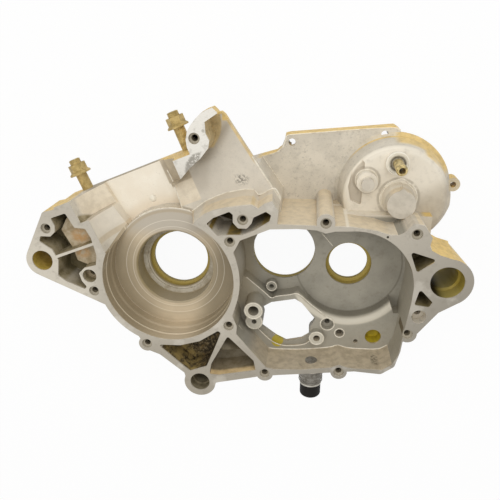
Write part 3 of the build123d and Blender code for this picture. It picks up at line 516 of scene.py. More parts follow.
class CastingFinish(Finish):
    """Cast aluminium with a milled split face, turned bores, amber on faces that look up, stains, and painted
    light and shade, laid on region by region.
    """

    def __init__(self, colours):
        super().__init__("cast_case_finish")
        self.colours = colours
        self.crank = self.radius((0, 0))
        self.cloud = self.noise(26, 4)
        self.mottle = self.noise(7, 5, 0.62)
        self.grain = self.noise(1.1, 3, 0.7)
        self.speck = self.noise(2.6, 4, 0.75)
        self.up = self.ny.rise(0.45, 0.85) * (1.0 - self.nz.rise(0.55, 0.8))
        self.flat = self.nz.rise(0.7, 0.95)
        self.along = self.x * math.cos(LEAN) + self.y * math.sin(LEAN)
        self.height = self.y * math.cos(LEAN) - self.x * math.sin(LEAN)
        self.base = self.skin()
        self.gearbox = self.x.between(59, 218, 1.5) * self.y.between(-88, 54.5, 1.5)
        self.gearbox = self.gearbox * self.depth.between(0.6, 70, 0.5)
        across = self.nx * (self.x - GEARBOX_MIDDLE[0])
        outward = (across + self.ny * (self.y - GEARBOX_MIDDLE[1])).rise(58, 64)
        self.gearbox = self.gearbox * (1.0 - outward)
        web_corner = self.inside([(56, 44), (79, 51), (96, 52), (97, 75), (56, 75)], 1.0)
        self.gearbox = self.gearbox * (1.0 - web_corner)

    def lay(self, mask, colour):
        self.base = self.mix(mask, self.base, colour)

    def blotchy(self, first, second, low=0.36, high=0.68):
        return self.mix(self.mottle.rise(low, high), first, second)

    def skin(self):
        cast = self.colours.cast_skin
        base = self.mix(self.cloud.rise(0.35, 0.65), cast, [c * 0.86 for c in cast])
        base = self.mix(self.mottle.rise(0.48, 0.76) * 0.38, base, (0.36, 0.33, 0.28))
        base = self.mix(self.speck.rise(0.54, 0.70) * 0.45, base, GRIT)
        return self.mix(self.grain.rise(0.55, 0.80) * 0.36, base, GRIT)

    def housing_walls(self):
        """Outer walls between the split face and the plate, and the bulge, with painted shade and a painted
        highlight on the bulge.
        """
        wall = self.up * (1.0 - self.gearbox) * self.depth.rise(1, 3) * self.y.between(50, 84, 2)
        self.lay(wall * self.x.rise(28, 34) * 0.8, self.blotchy((0.80, 0.665, 0.46), (0.66, 0.55, 0.38)))
        seam = self.x.between(74.5, 77.5, 0.8) * self.y.between(69, 76, 1)
        self.lay(seam * wall * 0.5, (0.62, 0.46, 0.20))
        bulge = self.radius(BULGE)
        face = bulge.rise(48, 46) * self.depth.between(36, 54, 2)
        self.lay(face * (1.0 - self.mottle.rise(0.45, 0.75) * 0.6), (0.82, 0.76, 0.65))
        # Painted shade on the lower right of the bulge face
        shaded_low_right = (self.x * 0.75 - self.y).rise(84, 108) * face
        self.lay(shaded_low_right * 0.85, self.blotchy((0.46, 0.40, 0.31), (0.56, 0.50, 0.40)))
        caps = self.radius(CAP_BOSS).rise(15, 14.5) * self.depth.rise(28, 27)
        caps = caps.larger(self.radius(PIN_BOSS).rise(7, 6.5) * self.depth.rise(33, 32))
        self.lay(caps * 0.75, self.blotchy((0.60, 0.55, 0.47), (0.50, 0.455, 0.38)))
        # Painted shade in the creases round the boss bases
        cap_base_shade = self.radius(CAP_BOSS).between(16.6, 19.0, 0.8) * self.depth.rise(46.5, 47.5)
        pin_base_shade = self.radius(PIN_BOSS).between(10.4, 12.4, 0.7) * self.depth.rise(46.5, 47.5)
        self.lay(cap_base_shade.larger(pin_base_shade) * face * self.mottle.rise(0.25, 0.55) * 0.75, BOSS_SHADE)
        # Painted shade on the boss sides that face +X
        shaded_flank = self.depth.between(28, 46.5, 0.6) * self.nz.rise(0.5, 0.3) * self.nx.rise(-0.2, 0.6)
        self.lay(shaded_flank * bulge.rise(45, 43) * 0.6, BOSS_SHADE)
        recess = self.depth.between(49.5, 54, 1) * self.flat * bulge.rise(46, 44)
        self.lay(recess * 0.55, (0.42, 0.36, 0.28))
        # Painted highlight along the rounded rim of the bulge
        rim = bulge.between(44.3, 46.8, 0.8) * self.depth.rise(56, 50)
        self.lay(rim * 0.7 * self.x.rise(215, 190), (0.90, 0.84, 0.72))
        boss_ring = self.radius(NIPPLE).between(6.6, 10.6, 0.4) * self.depth.rise(47, 45)
        self.lay(boss_ring, (0.90, 0.86, 0.76))
        # Painted shade in the well round the nipple
        shaded_boss_well = self.radius(NIPPLE).rise(6.8, 6.2) * self.depth.between(38, 60, 1)
        self.lay(shaded_boss_well, (0.25, 0.22, 0.16))

    def gearbox_walls(self):
        oiled = self.colours.oiled
        base = self.mix(self.cloud.rise(0.35, 0.68), oiled, [c * 1.22 for c in oiled])
        base = self.mix(self.mottle.rise(0.50, 0.78) * 0.42, base, (0.20, 0.175, 0.125))
        base = self.mix(self.speck.rise(0.58, 0.70) * 0.30, base, (0.15, 0.13, 0.09))
        left = self.x.rise(84, 66) * self.y.rise(-50, -30)
        base = self.mix(left * 0.5, base, (0.42, 0.345, 0.22))
        low_floor = self.y.rise(-30, -62) * self.depth.between(34, 40, 1)
        base = self.mix(low_floor * 0.40, base, (0.42, 0.39, 0.32))
        bosses = self.flat * self.depth.rise(34.5, 33.5)
        base = self.mix(bosses * 0.75, base, (0.66, 0.62, 0.52))
        gear = self.radius(COUNTERSHAFT)
        # Painted highlight along the lip round the gear recess
        lip_highlight = gear.between(50.5, 56.5, 1.2) * self.depth.between(35, 41, 1) * self.y.rise(-18, -30)
        base = self.mix(lip_highlight * 0.8, base, (0.72, 0.67, 0.56))
        inner_lip = gear.between(49, 50.6, 0.3) * self.depth.rise(40, 44)
        base = self.mix(inner_lip * 0.5, base, (0.16, 0.145, 0.11))
        right_wall = self.x.rise(203, 208) * (1.0 - self.flat)
        base = self.mix(right_wall * 0.5, base, (0.44, 0.40, 0.31))
        bottom_wall = self.ny.rise(0.3, 0.8) * self.y.rise(-60, -74)
        base = self.mix(bottom_wall * 0.9, base, self.blotchy((0.66, 0.56, 0.41), (0.48, 0.40, 0.28)))
        stain = self.x.between(186.5, 192.5, 1.2) * self.depth.between(9, 26, 3) * self.speck.rise(0.42, 0.55)
        base = self.mix(stain * bottom_wall * 0.75, base, (0.12, 0.10, 0.065))
        amber_hole = self.x.between(178, 200, 0.5) * self.y.between(-78, -58, 0.5)
        amber_hole = amber_hole * self.depth.rise(37.5, 38.5)
        base = self.mix(amber_hole, base, self.blotchy((0.62, 0.50, 0.03), (0.40, 0.31, 0.03)))
        amber_notch = self.spot((97.5, -76.5), 5.2, 6.2) * self.depth.rise(35, 36)
        base = self.mix(amber_notch, base, (0.50, 0.40, 0.05))
        self.base = base

    def chamber(self):
        """Turned walls and floor of the crank chamber and the bearing bore, with painted highlights and
        painted shade.
        """
        mask = self.crank.rise(60.6, 60.2) * self.depth.between(0.5, 36, 0.4)
        wall = (self.depth * 5.2 + self.mottle * 0.8).wave()
        floor = (self.crank * 4.6 + self.mottle * 0.6).wave()
        wide = (self.crank * 0.9 + self.depth * 1.4 + self.cloud * 2.0).wave()
        lathe = floor * self.flat + wall * (1.0 - self.flat)
        bare = self.colours.turned
        turned = self.mix(self.cloud.rise(0.3, 0.7), bare, [c * 0.86 for c in bare])
        turned = self.mix(lathe.rise(0.2, 1.0) * 0.18, turned, (0.80, 0.70, 0.53))
        turned = self.mix(wide.rise(0.5, 1.0) * 0.15, turned, (0.36, 0.28, 0.17))
        # Painted shade towards the left and towards the right of the chamber
        turned = self.mix((self.x * -1.0 - self.y * 0.3).rise(10, 56) * 0.7, turned, (0.25, 0.20, 0.12))
        turned = self.mix((self.x - self.y * 0.2).rise(18, 46) * 0.8, turned, (0.25, 0.205, 0.13))
        turned = self.mix(self.y.rise(26, 42) * self.flat * 0.9, turned, (0.50, 0.455, 0.385))
        # Painted shade: brown band on the floor near the outer wall at the top
        brown = self.crank.between(54.5, 57.2, 0.8) * self.flat * self.y.rise(20, 36)
        turned = self.mix(brown * 0.45, turned, (0.42, 0.32, 0.18))
        # Painted highlights: light rings at the step edges of the floor
        rims = self.crank.between(57.5, 58.2, 0.2) + self.crank.between(46.5, 47.1, 0.2)
        rims = (rims + self.crank.between(40.2, 40.7, 0.2)) * self.flat
        turned = self.mix(rims.smaller(1.0) * 0.45, turned, (0.92, 0.86, 0.74))
        # Painted highlights: light rings on the wall
        wall_rims = self.depth.between(30.6, 31.3, 0.2) + self.depth.between(9.5, 10.0, 0.2)
        turned = self.mix(wall_rims * (1.0 - self.flat) * 0.5, turned, (0.90, 0.80, 0.62))
        self.lay(mask, turned)
        bearing = self.crank.rise(38.0, 37.4) * self.depth.rise(31.5, 32.5)
        self.inner = self.gearbox.larger(mask).larger(bearing)
        bore = self.mix((self.depth * 3.0).wave().rise(0, 1) * 0.4, (0.44, 0.37, 0.25), (0.22, 0.17, 0.09))
        # Painted shade towards the left of the bearing bore
        bore = self.mix(self.x.rise(-8, -30) * 0.6, bore, (0.25, 0.185, 0.06))
        ring = self.crank.between(30, 35.5, 0.6) * self.depth.between(50, 54, 0.8)
        bore = self.mix(ring * 0.8, bore, self.blotchy((0.62, 0.58, 0.49), (0.40, 0.35, 0.26)))
        # Olive-amber painted shade at the bottom of the bearing bore
        bore = self.mix(self.depth.rise(53.5, 57) * 0.9, bore, (0.42, 0.32, 0.07))
        self.lay(bearing, bore)

    def spigot(self):
        """Cylinder seat bore and the transfer pocket, with painted shade on the right wall and towards the
        lower left.
        """
        mask = self.inside([seat(-49, 52), seat(50, 52), seat(50, 99), seat(-49, 99)], 0.8)
        mask = mask * self.depth.rise(0.6, 1.4) * self.crank.rise(58.6, 59.4) * self.height.rise(96.2, 95.7)
        self.seat_bore = mask
        pocket = self.depth.rise(43, 45) * self.flat
        seat_colour = self.blotchy((0.84, 0.75, 0.60), (0.72, 0.635, 0.50))
        bright = self.mix(self.cloud.rise(0.3, 0.6), (0.93, 0.875, 0.765), (0.87, 0.80, 0.68))
        seat_colour = self.mix(pocket, seat_colour, bright)
        seat_colour = self.mix(self.crank.rise(72, 60) * 0.5, seat_colour, (0.72, 0.60, 0.44))
        seat_colour = self.mix(self.speck.rise(0.60, 0.72) * 0.3, seat_colour, DULL_STEP)
        # Painted shade on the right wall of the seat bore
        right_wall_shade = self.along.rise(24, 25.5) * self.height.rise(72, 74) * self.depth.rise(9, 13)
        seat_colour = self.mix(right_wall_shade * 0.85, seat_colour, self.blotchy((0.46, 0.385, 0.27), (0.38, 0.31, 0.21)))
        # Painted shade towards the lower left
        shaded_low_left = self.along.rise(-22, -30) * self.height.rise(62, 56)
        seat_colour = self.mix(shaded_low_left * 0.5, seat_colour, (0.50, 0.42, 0.30))
        square = self.along.between(-47, -24, 0.7) * self.height.between(57, 75, 0.7) * (1.0 - pocket)
        seat_colour = self.mix(square * 0.6, seat_colour, (0.80, 0.76, 0.68))
        step = self.height.between(75.2, 76.3, 0.3) * self.along.rise(-28, -30)
        seat_colour = self.mix(step * 0.7, seat_colour, DULL_STEP)
        self.base = seat_colour

    def trough(self):
        """Intake side: bright skin, a brown pocket, a shaded corner and a blotch."""
        mask = self.inside([(14, 66), (98, 62), (70, 160), (20, 120)], 2.0) * self.depth.between(20, 36, 1.5)
        self.lay(mask * 0.55, (0.66, 0.615, 0.54))
        shade = self.inside([(17, 72), (34, 100), (52, 104), (60, 124), (52, 138), (24, 112)], 5.0) * mask
        self.lay(shade * 0.85, (0.36, 0.31, 0.235))
        self.lay(self.inside([(8, 58), (34, 78), (34, 100), (20, 96)], 4.0) * mask * 0.35, (0.42, 0.37, 0.30))
        pocket = self.inside([(25, 112), (39, 114), (45, 125), (46.5, 134), (44.5, 147), (30, 150)], 1.2)
        pocket = pocket * self.depth.rise(1.0, 2.0)
        self.lay(pocket, self.blotchy((0.56, 0.43, 0.22), (0.38, 0.29, 0.14)))
        blotch = self.spot((63, 86), 2.0, 9.0, 0.8) * mask * self.speck.rise(0.46, 0.54)
        self.lay(blotch * 0.8, (0.17, 0.155, 0.13))

    def film(self):
        """Amber on faces that look up, on part of the deck and on a few edges and patches."""
        mask = self.up * self.x.rise(-78, -88) * self.y.rise(52, 57)
        deck = self.height.rise(95.8, 96.3)
        mask = mask.larger(deck * self.along.rise(22, 30) * self.x.rise(26, 22))
        mask = mask.larger(self.up * self.x.rise(221, 227) * self.y.rise(20, 27))
        bulge = self.radius(BULGE).rise(47.0, 48.2) * self.x.rise(196, 204) * self.y.rise(82, 92)
        mask = mask.larger(bulge * self.depth.between(46, 84, 1) * (1.0 - self.nz.rise(0.8, 0.9)) * 0.9)
        edge = (self.y - self.x * 0.0926).rise(107.4, 108.0) * self.depth.rise(74, 76)
        edge = edge * self.x.between(97, 200, 1)
        mask = mask.larger(edge).larger(self.up * self.depth.rise(72, 76) * self.y.rise(95, 98))
        tip = self.x.rise(34, 38) * self.y.rise(142.0, 143.5) * self.depth.rise(0.4, 1.2)
        block = self.x.rise(46, 47.5) * self.y.rise(136, 138.5) * self.depth.rise(20, 24)
        rim = (self.y + self.x * 1.52).rise(213.0, 215.0) * self.y.rise(98, 106)
        rim = rim * self.depth.between(30, 40, 1) * self.x.rise(80, 76)
        mask = mask.larger(tip).larger(block).larger(rim * 0.7)
        lug = self.spot(PLATE_LUG, 6.0, 7.5) * self.depth.rise(78, 82)
        mask = mask.larger(lug * 0.6)
        amber = self.colours.amber
        self.lay(mask * 0.92, self.blotchy(amber, [c * 0.74 for c in amber], 0.35, 0.7))
        grey_deck = deck * self.along.rise(28, 22) * self.x.rise(-80, -72)
        self.lay(grey_deck * 0.7, (0.30, 0.25, 0.17))

    def pockets(self):
        """Painted shade in the pockets of the split face: darker with depth, near-black on faces turned from
        the light and lit amber on faces that look up; with some dirt, crust and rust spots.
        """
        low = self.depth.between(1.2, 44, 0.8)
        pocket_shade = self.blotchy(self.colours.pocket_shade, (0.12, 0.09, 0.038), 0.4, 0.75)
        front = self.inside([(-118, 30), (-104, 0), (-70, -16), (-58, 10), (-66, 50), (-86, 64),
                             (-106, 60)], 1.0)
        colour = self.blotchy((0.42, 0.36, 0.24), (0.24, 0.20, 0.11))
        # Painted shade: darker with depth
        colour = self.mix(self.depth.rise(12, 26) * 0.6, colour, (0.14, 0.115, 0.05))
        block = self.flat * self.depth.between(10.5, 13, 0.5)
        colour = self.mix(block, colour, self.blotchy((0.54, 0.46, 0.33), (0.36, 0.28, 0.17)))
        rust = self.spot((-81, 36), 4, 11, 0.8).larger(self.spot((-80, 20), 3, 9, 0.8))
        colour = self.mix(rust * self.mottle.rise(0.30, 0.52) * 0.75, colour, (0.55, 0.31, 0.12))
        self.lay(front * low, colour)
        self.dark = front
        web = self.inside([(33, 53), (96, 60), (96, 70), (76, 65), (54, 66.5), (40, 61)], 0.8)
        web = web.larger(self.inside([(34, 52), (60, 43), (92, 58), (93, 66), (60, 58)], 0.8))
        # Lit and shaded copies: amber where the faces look up, near-black painted shade elsewhere
        lit_shelf = self.blotchy((0.46, 0.32, 0.09), (0.24, 0.18, 0.07), 0.35, 0.65)
        web = web * (1.0 - self.gearbox)
        self.lay(web * low, self.mix(self.ny.rise(0.3, 0.8), pocket_shade, lit_shelf))
        self.dark = self.dark.larger(web)
        shaded_dirty_pocket = self.inside([(-16, -64), (3, -84), (17, -94), (36, -90), (50, -50), (28, -57), (8, -62)], 1.0)
        # Dark crust of dirt that also stands for the pocket's painted shade
        crust_and_shade = self.mix(self.speck.rise(0.44, 0.66), (0.035, 0.025, 0.012), (0.26, 0.20, 0.11))
        crust_and_shade = self.mix(self.mottle.rise(0.52, 0.74) * 0.6, crust_and_shade, (0.36, 0.24, 0.085))
        rim = (self.y + self.x * 0.75).rise(-66, -78) * self.mottle.rise(0.36, 0.60)
        crust_and_shade = self.mix(rim * 0.7, crust_and_shade, (0.50, 0.37, 0.14))
        self.lay(shaded_dirty_pocket * low, crust_and_shade)
        self.dark = self.dark.larger(shaded_dirty_pocket)
        plain = self.inside([(36, -84), (35, -97), (46, -97), (81, -89), (78, -76), (54, -51)], 0.8)
        # Painted light and shade: bright amber on faces that look up, dark elsewhere, darker with depth and
        # near-black towards the upper end
        wall = self.mix(self.ny.rise(0.3, 0.8), (0.26, 0.225, 0.16),
                        self.blotchy((0.95, 0.72, 0.40), (0.74, 0.54, 0.28)))
        wall = self.mix(self.depth.rise(7, 11) * 0.85, wall,
                        self.blotchy((0.30, 0.26, 0.19), (0.20, 0.17, 0.11)))
        wall = self.mix((self.y + self.x * 0.5).rise(-52, -42) * 0.85, wall, (0.045, 0.03, 0.01))
        self.lay(plain * low, wall)
        self.dark = self.dark.larger(plain)
        rear = self.inside([(206, 38), (212, 16), (218, 14), (235, 28), (234, 32), (210, 39)], 0.5)
        rear = rear.larger(self.inside([(214, -14), (231, -17), (234.5, -10), (221, 4)], 0.5))
        # Painted shade in the rear pockets
        self.lay(rear * low, self.blotchy((0.20, 0.16, 0.075), (0.30, 0.25, 0.15)))
        self.dark = self.dark.larger(rear) * low

    def bores(self):
        """Bores and holes of the split face, coloured as painted light and shade: near-black and olive-amber
        inside, darker with depth.
        """
        dx, dy = self.x - PIVOT[0], self.y - PIVOT[1]
        pivot = self.radius(PIVOT).rise(15.0, 14.7) * self.depth.rise(0.6, 1.6)
        # Pivot bore: painted shade, near-black on the left and olive-amber on the right
        self.lay(pivot, self.mix((dx - dy * 0.3).rise(-5, 13), (0.018, 0.012, 0.002), (0.42, 0.32, 0.06)))
        # Lighter crescent low on the right of the pivot bore: painted light
        lit_crescent = pivot * dy.rise(-6, -11) * dx.rise(-8, 2)
        self.lay(lit_crescent * 0.5, (0.50, 0.42, 0.15))
        front = self.radius(FRONT_MOUNT).rise(10.0, 9.7) * self.depth.rise(0.5, 1.5)
        # Front mount bore: olive-amber painted shade
        self.lay(front, self.blotchy((0.42, 0.31, 0.06), (0.56, 0.42, 0.10), 0.4, 0.6))
        self.dark = self.dark.larger(pivot).larger(front)
        low = self.radius(LOWER_MOUNT).rise(9.9, 9.4) * self.depth.rise(0.5, 1.5)
        # Lower mount bore: dark painted shade
        self.lay(low, self.blotchy((0.15, 0.125, 0.075), (0.28, 0.24, 0.16)))
        self.dark = self.dark.larger(low)
        for shaft, radius in ((MAINSHAFT, 29.6), (COUNTERSHAFT, 21.9)):
            # Olive-amber painted shade deep in the shaft holes
            rim = self.radius(shaft).rise(radius + 0.4, radius) * self.depth.rise(52.5, 54.5)
            self.lay(rim, (0.46, 0.36, 0.10))
            self.dark = self.dark.larger(rim)
        for hole in SCREW_PLACES:
            # Screw holes: painted shade, darker with depth
            inner = self.radius(hole).rise(5.0, 4.6) * self.depth.between(0.7, 28, 0.3)
            self.lay(inner, self.mix(self.depth.rise(2, 8), (0.46, 0.42, 0.34), (0.16, 0.125, 0.075)))
            self.dark = self.dark.larger(inner)

    def split_face(self):
        """Milled face, scuffed and stained, with a painted sheen: lighter towards the top and at the far
        left, darker towards the lower right and along the bottom.
        """
        self.land = self.flat * self.depth.rise(0.35, 0.2)
        # Painted sheen: lighter towards the top and at the far left, darker towards the lower right and along
        # the bottom
        milled = self.mix(self.y.rise(60, 125) * 0.8, self.colours.machined, (0.90, 0.88, 0.83))
        milled = self.mix(self.x.rise(-58, -80) * self.y.rise(60, 20) * 0.6, milled, (0.74, 0.69, 0.59))
        milled = self.mix((self.x * 0.8 - self.y).rise(80, 230) * 0.9, milled, (0.30, 0.275, 0.23))
        milled = self.mix(self.y.rise(-50, -72) * self.x.rise(92, 70) * 0.45, milled, (0.32, 0.285, 0.225))
        strokes = self.noise(3.2, 4, 0.6, (1, 9, 1), (0, 0, 0.5))
        milled = self.mix(strokes.rise(0.45, 0.75) * 0.26, milled, (0.34, 0.31, 0.26))
        milled = self.mix(self.mottle.rise(0.52, 0.70) * 0.36, milled, (0.27, 0.245, 0.20))
        milled = self.mix(self.cloud.rise(0.56, 0.66) * 0.28, milled, (0.80, 0.76, 0.68))
        pitted = self.inside([(20, 99), (25, 98), (31, 106), (34, 117), (26, 114), (21, 107)], 1.2)
        milled = self.mix(pitted * self.speck.rise(0.38, 0.50) * 0.8, milled, (0.24, 0.22, 0.185))
        nick = self.spot((36.2, 133.9), 0.6, 2.0) * self.speck.rise(0.35, 0.5)
        milled = self.mix(nick * 0.7, milled, (0.40, 0.38, 0.33))
        self.lay(self.land, milled)

    def region(self, steps, grip=1.0, gloss=0.55):
        """Shader of the regions that the steps paint, over the plain skin."""
        self.base = self.plain
        for step in steps:
            step()
        relief = (self.grain * 0.55 + self.speck * 0.35) * grip
        return self.shader(self.base, self.grain * 0.16 + 0.51, 0.0, relief, 0.00026,
                           **{"Specular IOR Level": gloss})

    def finished(self):
        self.plain = self.base
        result = self.region((self.housing_walls, self.trough, self.film))
        seat_bore = self.region((self.spigot,))
        result = self.join(self.seat_bore, result, seat_bore)
        inner = self.region((self.gearbox_walls, self.chamber))
        result = self.join(self.inner, result, inner)
        dark = self.region((self.pockets, self.bores), 1.0, 0.2)
        result = self.join(self.dark, result, dark)
        face = self.region((self.split_face,), 0.25)
        return self.finish(self.join(self.land, result, face))


def edge_highlight_finish(colours):
    """Light edge along the cast radii: painted highlight with some rubbed wear, warm where it looks up."""
    f = Finish("cast_edge_finish")
    mottle = f.noise(5, 4, 0.65)
    base = f.mix(mottle.rise(0.4, 0.7), (0.86, 0.81, 0.70), (0.66, 0.60, 0.49))
    warm = [min(1.0, c * 1.15) for c in colours.amber]
    base = f.mix(f.ny.rise(0.35, 0.9) * f.depth.rise(66, 72) * 0.8, base, warm)
    return f.finish(f.shader(base, mottle * 0.2 + 0.42, 0.0, f.noise(1.2, 3, 0.7), 0.00012))


def plain_metal(name, colour, dark, roughness, metallic, size=3.0):
    """Metal with cloudy dulling and fine grain."""
    f = Finish(name)
    cloud = f.noise(size, 4, 0.65)
    grain = f.noise(size / 8, 3, 0.7)
    base = f.mix(cloud.rise(0.38, 0.66), colour, dark)
    rough = cloud * 0.25 + roughness
    return f.finish(f.shader(base, rough, metallic, grain * 0.5 + cloud * 0.5, 0.00008))


def seat_ring_finish():
    """Steel ring pressed round the nipple, pale outside and dark within."""
    f = Finish("grey_steel_finish")
    mottle = f.noise(3, 4, 0.7)
    across = f.radius(NIPPLE)
    base = f.mix(mottle.rise(0.4, 0.7), (0.34, 0.31, 0.25), (0.15, 0.13, 0.09))
    base = f.mix(across.rise(6.9, 7.4) * 0.85, base, (0.78, 0.73, 0.62))
    base = f.mix(across.between(5.6, 6.2, 0.15), base, (0.08, 0.065, 0.04))
    return f.finish(f.shader(base, mottle * 0.2 + 0.35, 0.3, mottle, 0.0001))


def cap_finish():
    """Black moulded cap, dusty and scuffed."""
    f = Finish("black_cap_finish")
    dust = f.noise(2.2, 5, 0.7)
    scuff = f.noise(4.0, 4, 0.6, (1, 6, 1))
    base = f.mix(dust.rise(0.55, 0.8) * 0.5, (0.012, 0.011, 0.010), (0.05, 0.045, 0.036))
    base = f.mix(scuff.rise(0.62, 0.8) * 0.25, base, (0.10, 0.09, 0.075))
    return f.finish(f.shader(base, 0.50 + dust * 0.2, 0.0, dust, 0.00012, **{"Specular IOR Level": 0.2}))


# Operators


class CRANKCASE_OT_casting(bpy.types.Operator):
    """Paint the casting"""

    bl_idname = "crankcase.casting"
    bl_label = "Casting"

    def execute(self, context):
        dress("crankcase_casting", CastingFinish(context.scene.crankcase_colours).finished())
        return {"FINISHED"}


class CRANKCASE_OT_studs(bpy.types.Operator):
    """Plate the studs and nuts and cut the stud threads"""

    bl_idname = "crankcase.studs"
    bl_label = "Studs and nuts"

    def execute(self, context):
        colours = context.scene.crankcase_colours
        sizes = context.scene.crankcase_sizes
        plating = plain_metal("yellow_zinc_finish", colours.zinc, (0.36, 0.26, 0.09), 0.36, 0.25, 5.0)
        tree = ridge_tree()
        for name, (along, reach) in STUD_PLACES.items():
            dress("stud_" + name, plating)
            dress("nut_" + name, plating)
            lines = []
            nut_top = reach - STUD_TIP
            for low, high in ((1.0, nut_top - NUT_HEIGHT - 0.6), (nut_top + 0.6, reach - 0.7)):
                ends = [seat(along, DECK_HEIGHT + h) for h in (low, high)]
                lines.append([place(*end, STUD_DEPTH) for end in ends])
            grow("stud_thread_" + name, lines, tree,
                 {"Pitch": sizes.stud_pitch, "Crest Radius": STUD_CREST, "Ridge Radius": sizes.thread_ridge,
                  "Facets": sizes.thread_facets}, plating)
        return {"FINISHED"}


class CRANKCASE_OT_screw_holes(bpy.types.Operator):
    """Tap the screw holes of both faces"""

    bl_idname = "crankcase.screw_holes"
    bl_label = "Screw holes"

    def execute(self, context):
        sizes = context.scene.crankcase_sizes
        tapped = plain_metal("tapped_thread_finish", (0.26, 0.22, 0.15), (0.12, 0.095, 0.055), 0.4, 0.2)
        tree = ridge_tree()
        for name, places, depths, crest in (
                ("case_screw_threads", SCREW_PLACES, CASE_THREAD_DEPTHS, CASE_SCREW_CREST),
                ("cover_screw_threads", COVER_SCREW_PLACES, COVER_THREAD_DEPTHS, COVER_SCREW_CREST)):
            lines = [[place(x, y, depth) for depth in depths] for x, y in places]
            grow(name, lines, tree,
                 {"Pitch": sizes.screw_pitch, "Crest Radius": crest, "Ridge Radius": sizes.thread_ridge,
                  "Facets": SCREW_FACETS}, tapped)
        return {"FINISHED"}


class CRANKCASE_OT_edges(bpy.types.Operator):
    """Lay the small cast radii and the light edges, their light colour a painted highlight"""

    bl_idname = "crankcase.edges"
    bl_label = "Cast edges"

    def execute(self, context):
        radius = context.scene.crankcase_sizes.cast_radius
        finish = edge_highlight_finish(context.scene.crankcase_colours)
        tree = bead_tree()
        for name, share, paths in (("edge_beads_fine", 0.62, FINE_EDGES),
                                   ("edge_beads_full", 1.0, FULL_EDGES)):
            lines = [smooth_path([place(*point) for point in path]) for path in paths]
            grow(name, lines, tree, {"Bead Radius": radius * share}, finish)
        # The pad takes the same light edge finish, a painted highlight
        pad = dome("transfer_pad", TRANSFER_PAD, 3.7, 1.3)
        pad.data.materials.append(finish)
        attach(pad, "root")
        return {"FINISHED"}


class CRANKCASE_OT_nipple(bpy.types.Operator):
    """Finish the vent nipple and the steel ring round it"""

    bl_idname = "crankcase.nipple"
    bl_label = "Vent nipple"

    def execute(self, context):
        colours = context.scene.crankcase_colours
        dress("vent_nipple", plain_metal("dull_brass_finish", colours.brass, (0.30, 0.23, 0.10), 0.34, 0.45))
        dress("nipple_seat_ring", seat_ring_finish())
        return {"FINISHED"}


class CRANKCASE_OT_fitting(bpy.types.Operator):
    """Finish the bottom fitting, its washer and its cap"""

    bl_idname = "crankcase.fitting"
    bl_label = "Bottom fitting"

    def execute(self, context):
        colours = context.scene.crankcase_colours
        steel = plain_metal("plated_steel_finish", colours.plated, (0.17, 0.155, 0.13), 0.30, 0.4)
        soft = plain_metal("soft_washer_finish", (0.62, 0.60, 0.55), (0.42, 0.40, 0.35), 0.4, 0.2)
        dress("fitting_body", steel)
        dress("fitting_ring", soft)
        dress("fitting_cap", cap_finish())
        collar = [[place(FITTING_X, FITTING_SEAT_Y - reach, FITTING_DEPTH) for reach in COLLAR_REACH]]
        grow("fitting_collar_rings", collar, ridge_tree(), COLLAR, steel)
        return {"FINISHED"}


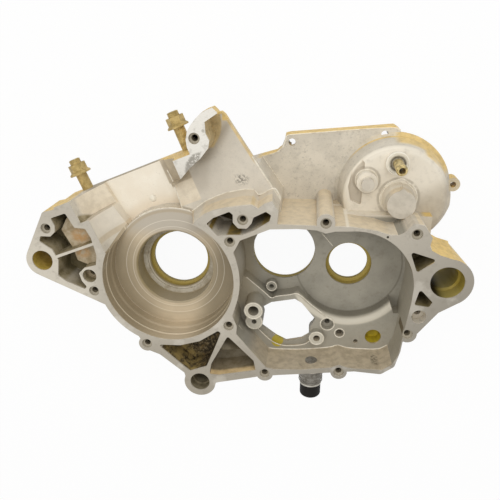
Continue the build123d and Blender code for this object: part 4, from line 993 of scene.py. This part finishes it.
class CRANKCASE_OT_stage(bpy.types.Operator):
    """Set up the floor, the light and the camera"""

    bl_idname = "crankcase.stage"
    bl_label = "Stage"

    def execute(self, context):
        stage = context.scene.crankcase_stage
        self.floor(stage)
        self.light(stage)
        self.camera(stage)
        return {"FINISHED"}

    def floor(self, stage):
        half = stage.floor_size / 2
        bottom = CAD_BOX[0][2] - FLOOR_GAP
        mesh = bpy.data.meshes.new("floor")
        mesh.from_pydata([(-half, -half, bottom), (half, -half, bottom), (half, half, bottom),
                          (-half, half, bottom)], [], [(0, 1, 2, 3)])
        floor = bpy.data.objects.new("floor", mesh)
        bpy.context.collection.objects.link(floor)
        f = Finish("floor_finish")
        rays = f.node("ShaderNodeLightPath")
        seen = Signal(f, rays.outputs["Is Camera Ray"]).larger(Signal(f, rays.outputs["Is Glossy Ray"]))
        seen = seen.larger(Signal(f, rays.outputs["Is Transmission Ray"]))
        matt = f.node("ShaderNodeBsdfDiffuse", None, {"Color": (0.86, 0.86, 0.86, 1)})
        white = f.node("ShaderNodeEmission", None, {"Color": WHITE, "Strength": 1.0})
        mesh.materials.append(f.finish(f.join(seen * 0.95, matt.outputs[0], white.outputs[0])))

    def light(self, stage):
        world = bpy.data.worlds.new("even_light")
        bpy.context.scene.world = world
        world.use_nodes = True
        tree = world.node_tree
        tree.nodes.clear()
        rays = add_node(tree, "ShaderNodeLightPath")
        even = add_node(tree, "ShaderNodeBackground", None,
                        {"Color": (1.0, 0.985, 0.95, 1), "Strength": stage.sky})
        white = add_node(tree, "ShaderNodeBackground", None, {"Color": WHITE, "Strength": 1.0})
        blend = add_node(tree, "ShaderNodeMixShader", None,
                         {0: rays.outputs["Is Camera Ray"], 1: even.outputs[0], 2: white.outputs[0]})
        add_node(tree, "ShaderNodeOutputWorld", None, {0: blend.outputs[0]})
        for name, spot, size, power in (("key", (0.25, 0.75, 0.85), 0.9, stage.key_power),
                                        ("fill", (-0.45, 0.05, 1.0), 0.8, stage.fill_power)):
            data = bpy.data.lights.new(name, "AREA")
            data.size = size
            data.energy = power
            data.color = (1.0, 0.985, 0.955)
            lamp = bpy.data.objects.new(name, data)
            bpy.context.collection.objects.link(lamp)
            aim = Vector(spot) - LAMP_AIM
            lamp.rotation_euler = aim.to_track_quat("Z", "Y").to_euler()
            lamp.location = spot

    def camera(self, stage):
        data = bpy.data.cameras.new("camera")
        data.lens = stage.lens
        data.sensor_width = 36.0
        camera = bpy.data.objects.new("camera", data)
        bpy.context.collection.objects.link(camera)
        turned = Matrix(CAMERA_AXES).transposed().to_4x4()
        camera.matrix_world = Matrix.Translation(CAMERA_PLACE) @ turned
        bpy.context.scene.camera = camera


class CRANKCASE_PT_panel(bpy.types.Panel):
    """Steps and settings of the crankcase half"""

    bl_idname = "CRANKCASE_PT_panel"
    bl_label = "Crankcase half"
    bl_space_type = "VIEW_3D"
    bl_region_type = "UI"
    bl_category = "Crankcase"

    def draw(self, context):
        layout = self.layout
        for step in STEPS:
            layout.operator(step.bl_idname)
        for group in (context.scene.crankcase_colours, context.scene.crankcase_sizes,
                      context.scene.crankcase_stage):
            box = layout.box()
            for name in group.__annotations__:
                box.prop(group, name)


STEPS = (CRANKCASE_OT_casting, CRANKCASE_OT_edges, CRANKCASE_OT_studs, CRANKCASE_OT_screw_holes,
         CRANKCASE_OT_nipple, CRANKCASE_OT_fitting, CRANKCASE_OT_stage)
CLASSES = (CrankcaseColours, CrankcaseSizes, CrankcaseStage, *STEPS, CRANKCASE_PT_panel)


def register():
    for cls in CLASSES:
        bpy.utils.register_class(cls)
    bpy.types.Scene.crankcase_colours = PointerProperty(type=CrankcaseColours)
    bpy.types.Scene.crankcase_sizes = PointerProperty(type=CrankcaseSizes)
    bpy.types.Scene.crankcase_stage = PointerProperty(type=CrankcaseStage)


def unregister():
    del bpy.types.Scene.crankcase_stage
    del bpy.types.Scene.crankcase_sizes
    del bpy.types.Scene.crankcase_colours
    for cls in reversed(CLASSES):
        bpy.utils.unregister_class(cls)


def main():
    register()
    scene = bpy.context.scene
    scene.view_settings.view_transform = "Standard"
    bpy.ops.crankcase.casting()
    bpy.ops.crankcase.edges()
    bpy.ops.crankcase.studs()
    bpy.ops.crankcase.screw_holes()
    bpy.ops.crankcase.nipple()
    bpy.ops.crankcase.fitting()
    bpy.ops.crankcase.stage()


if __name__ == "__main__":
    main()
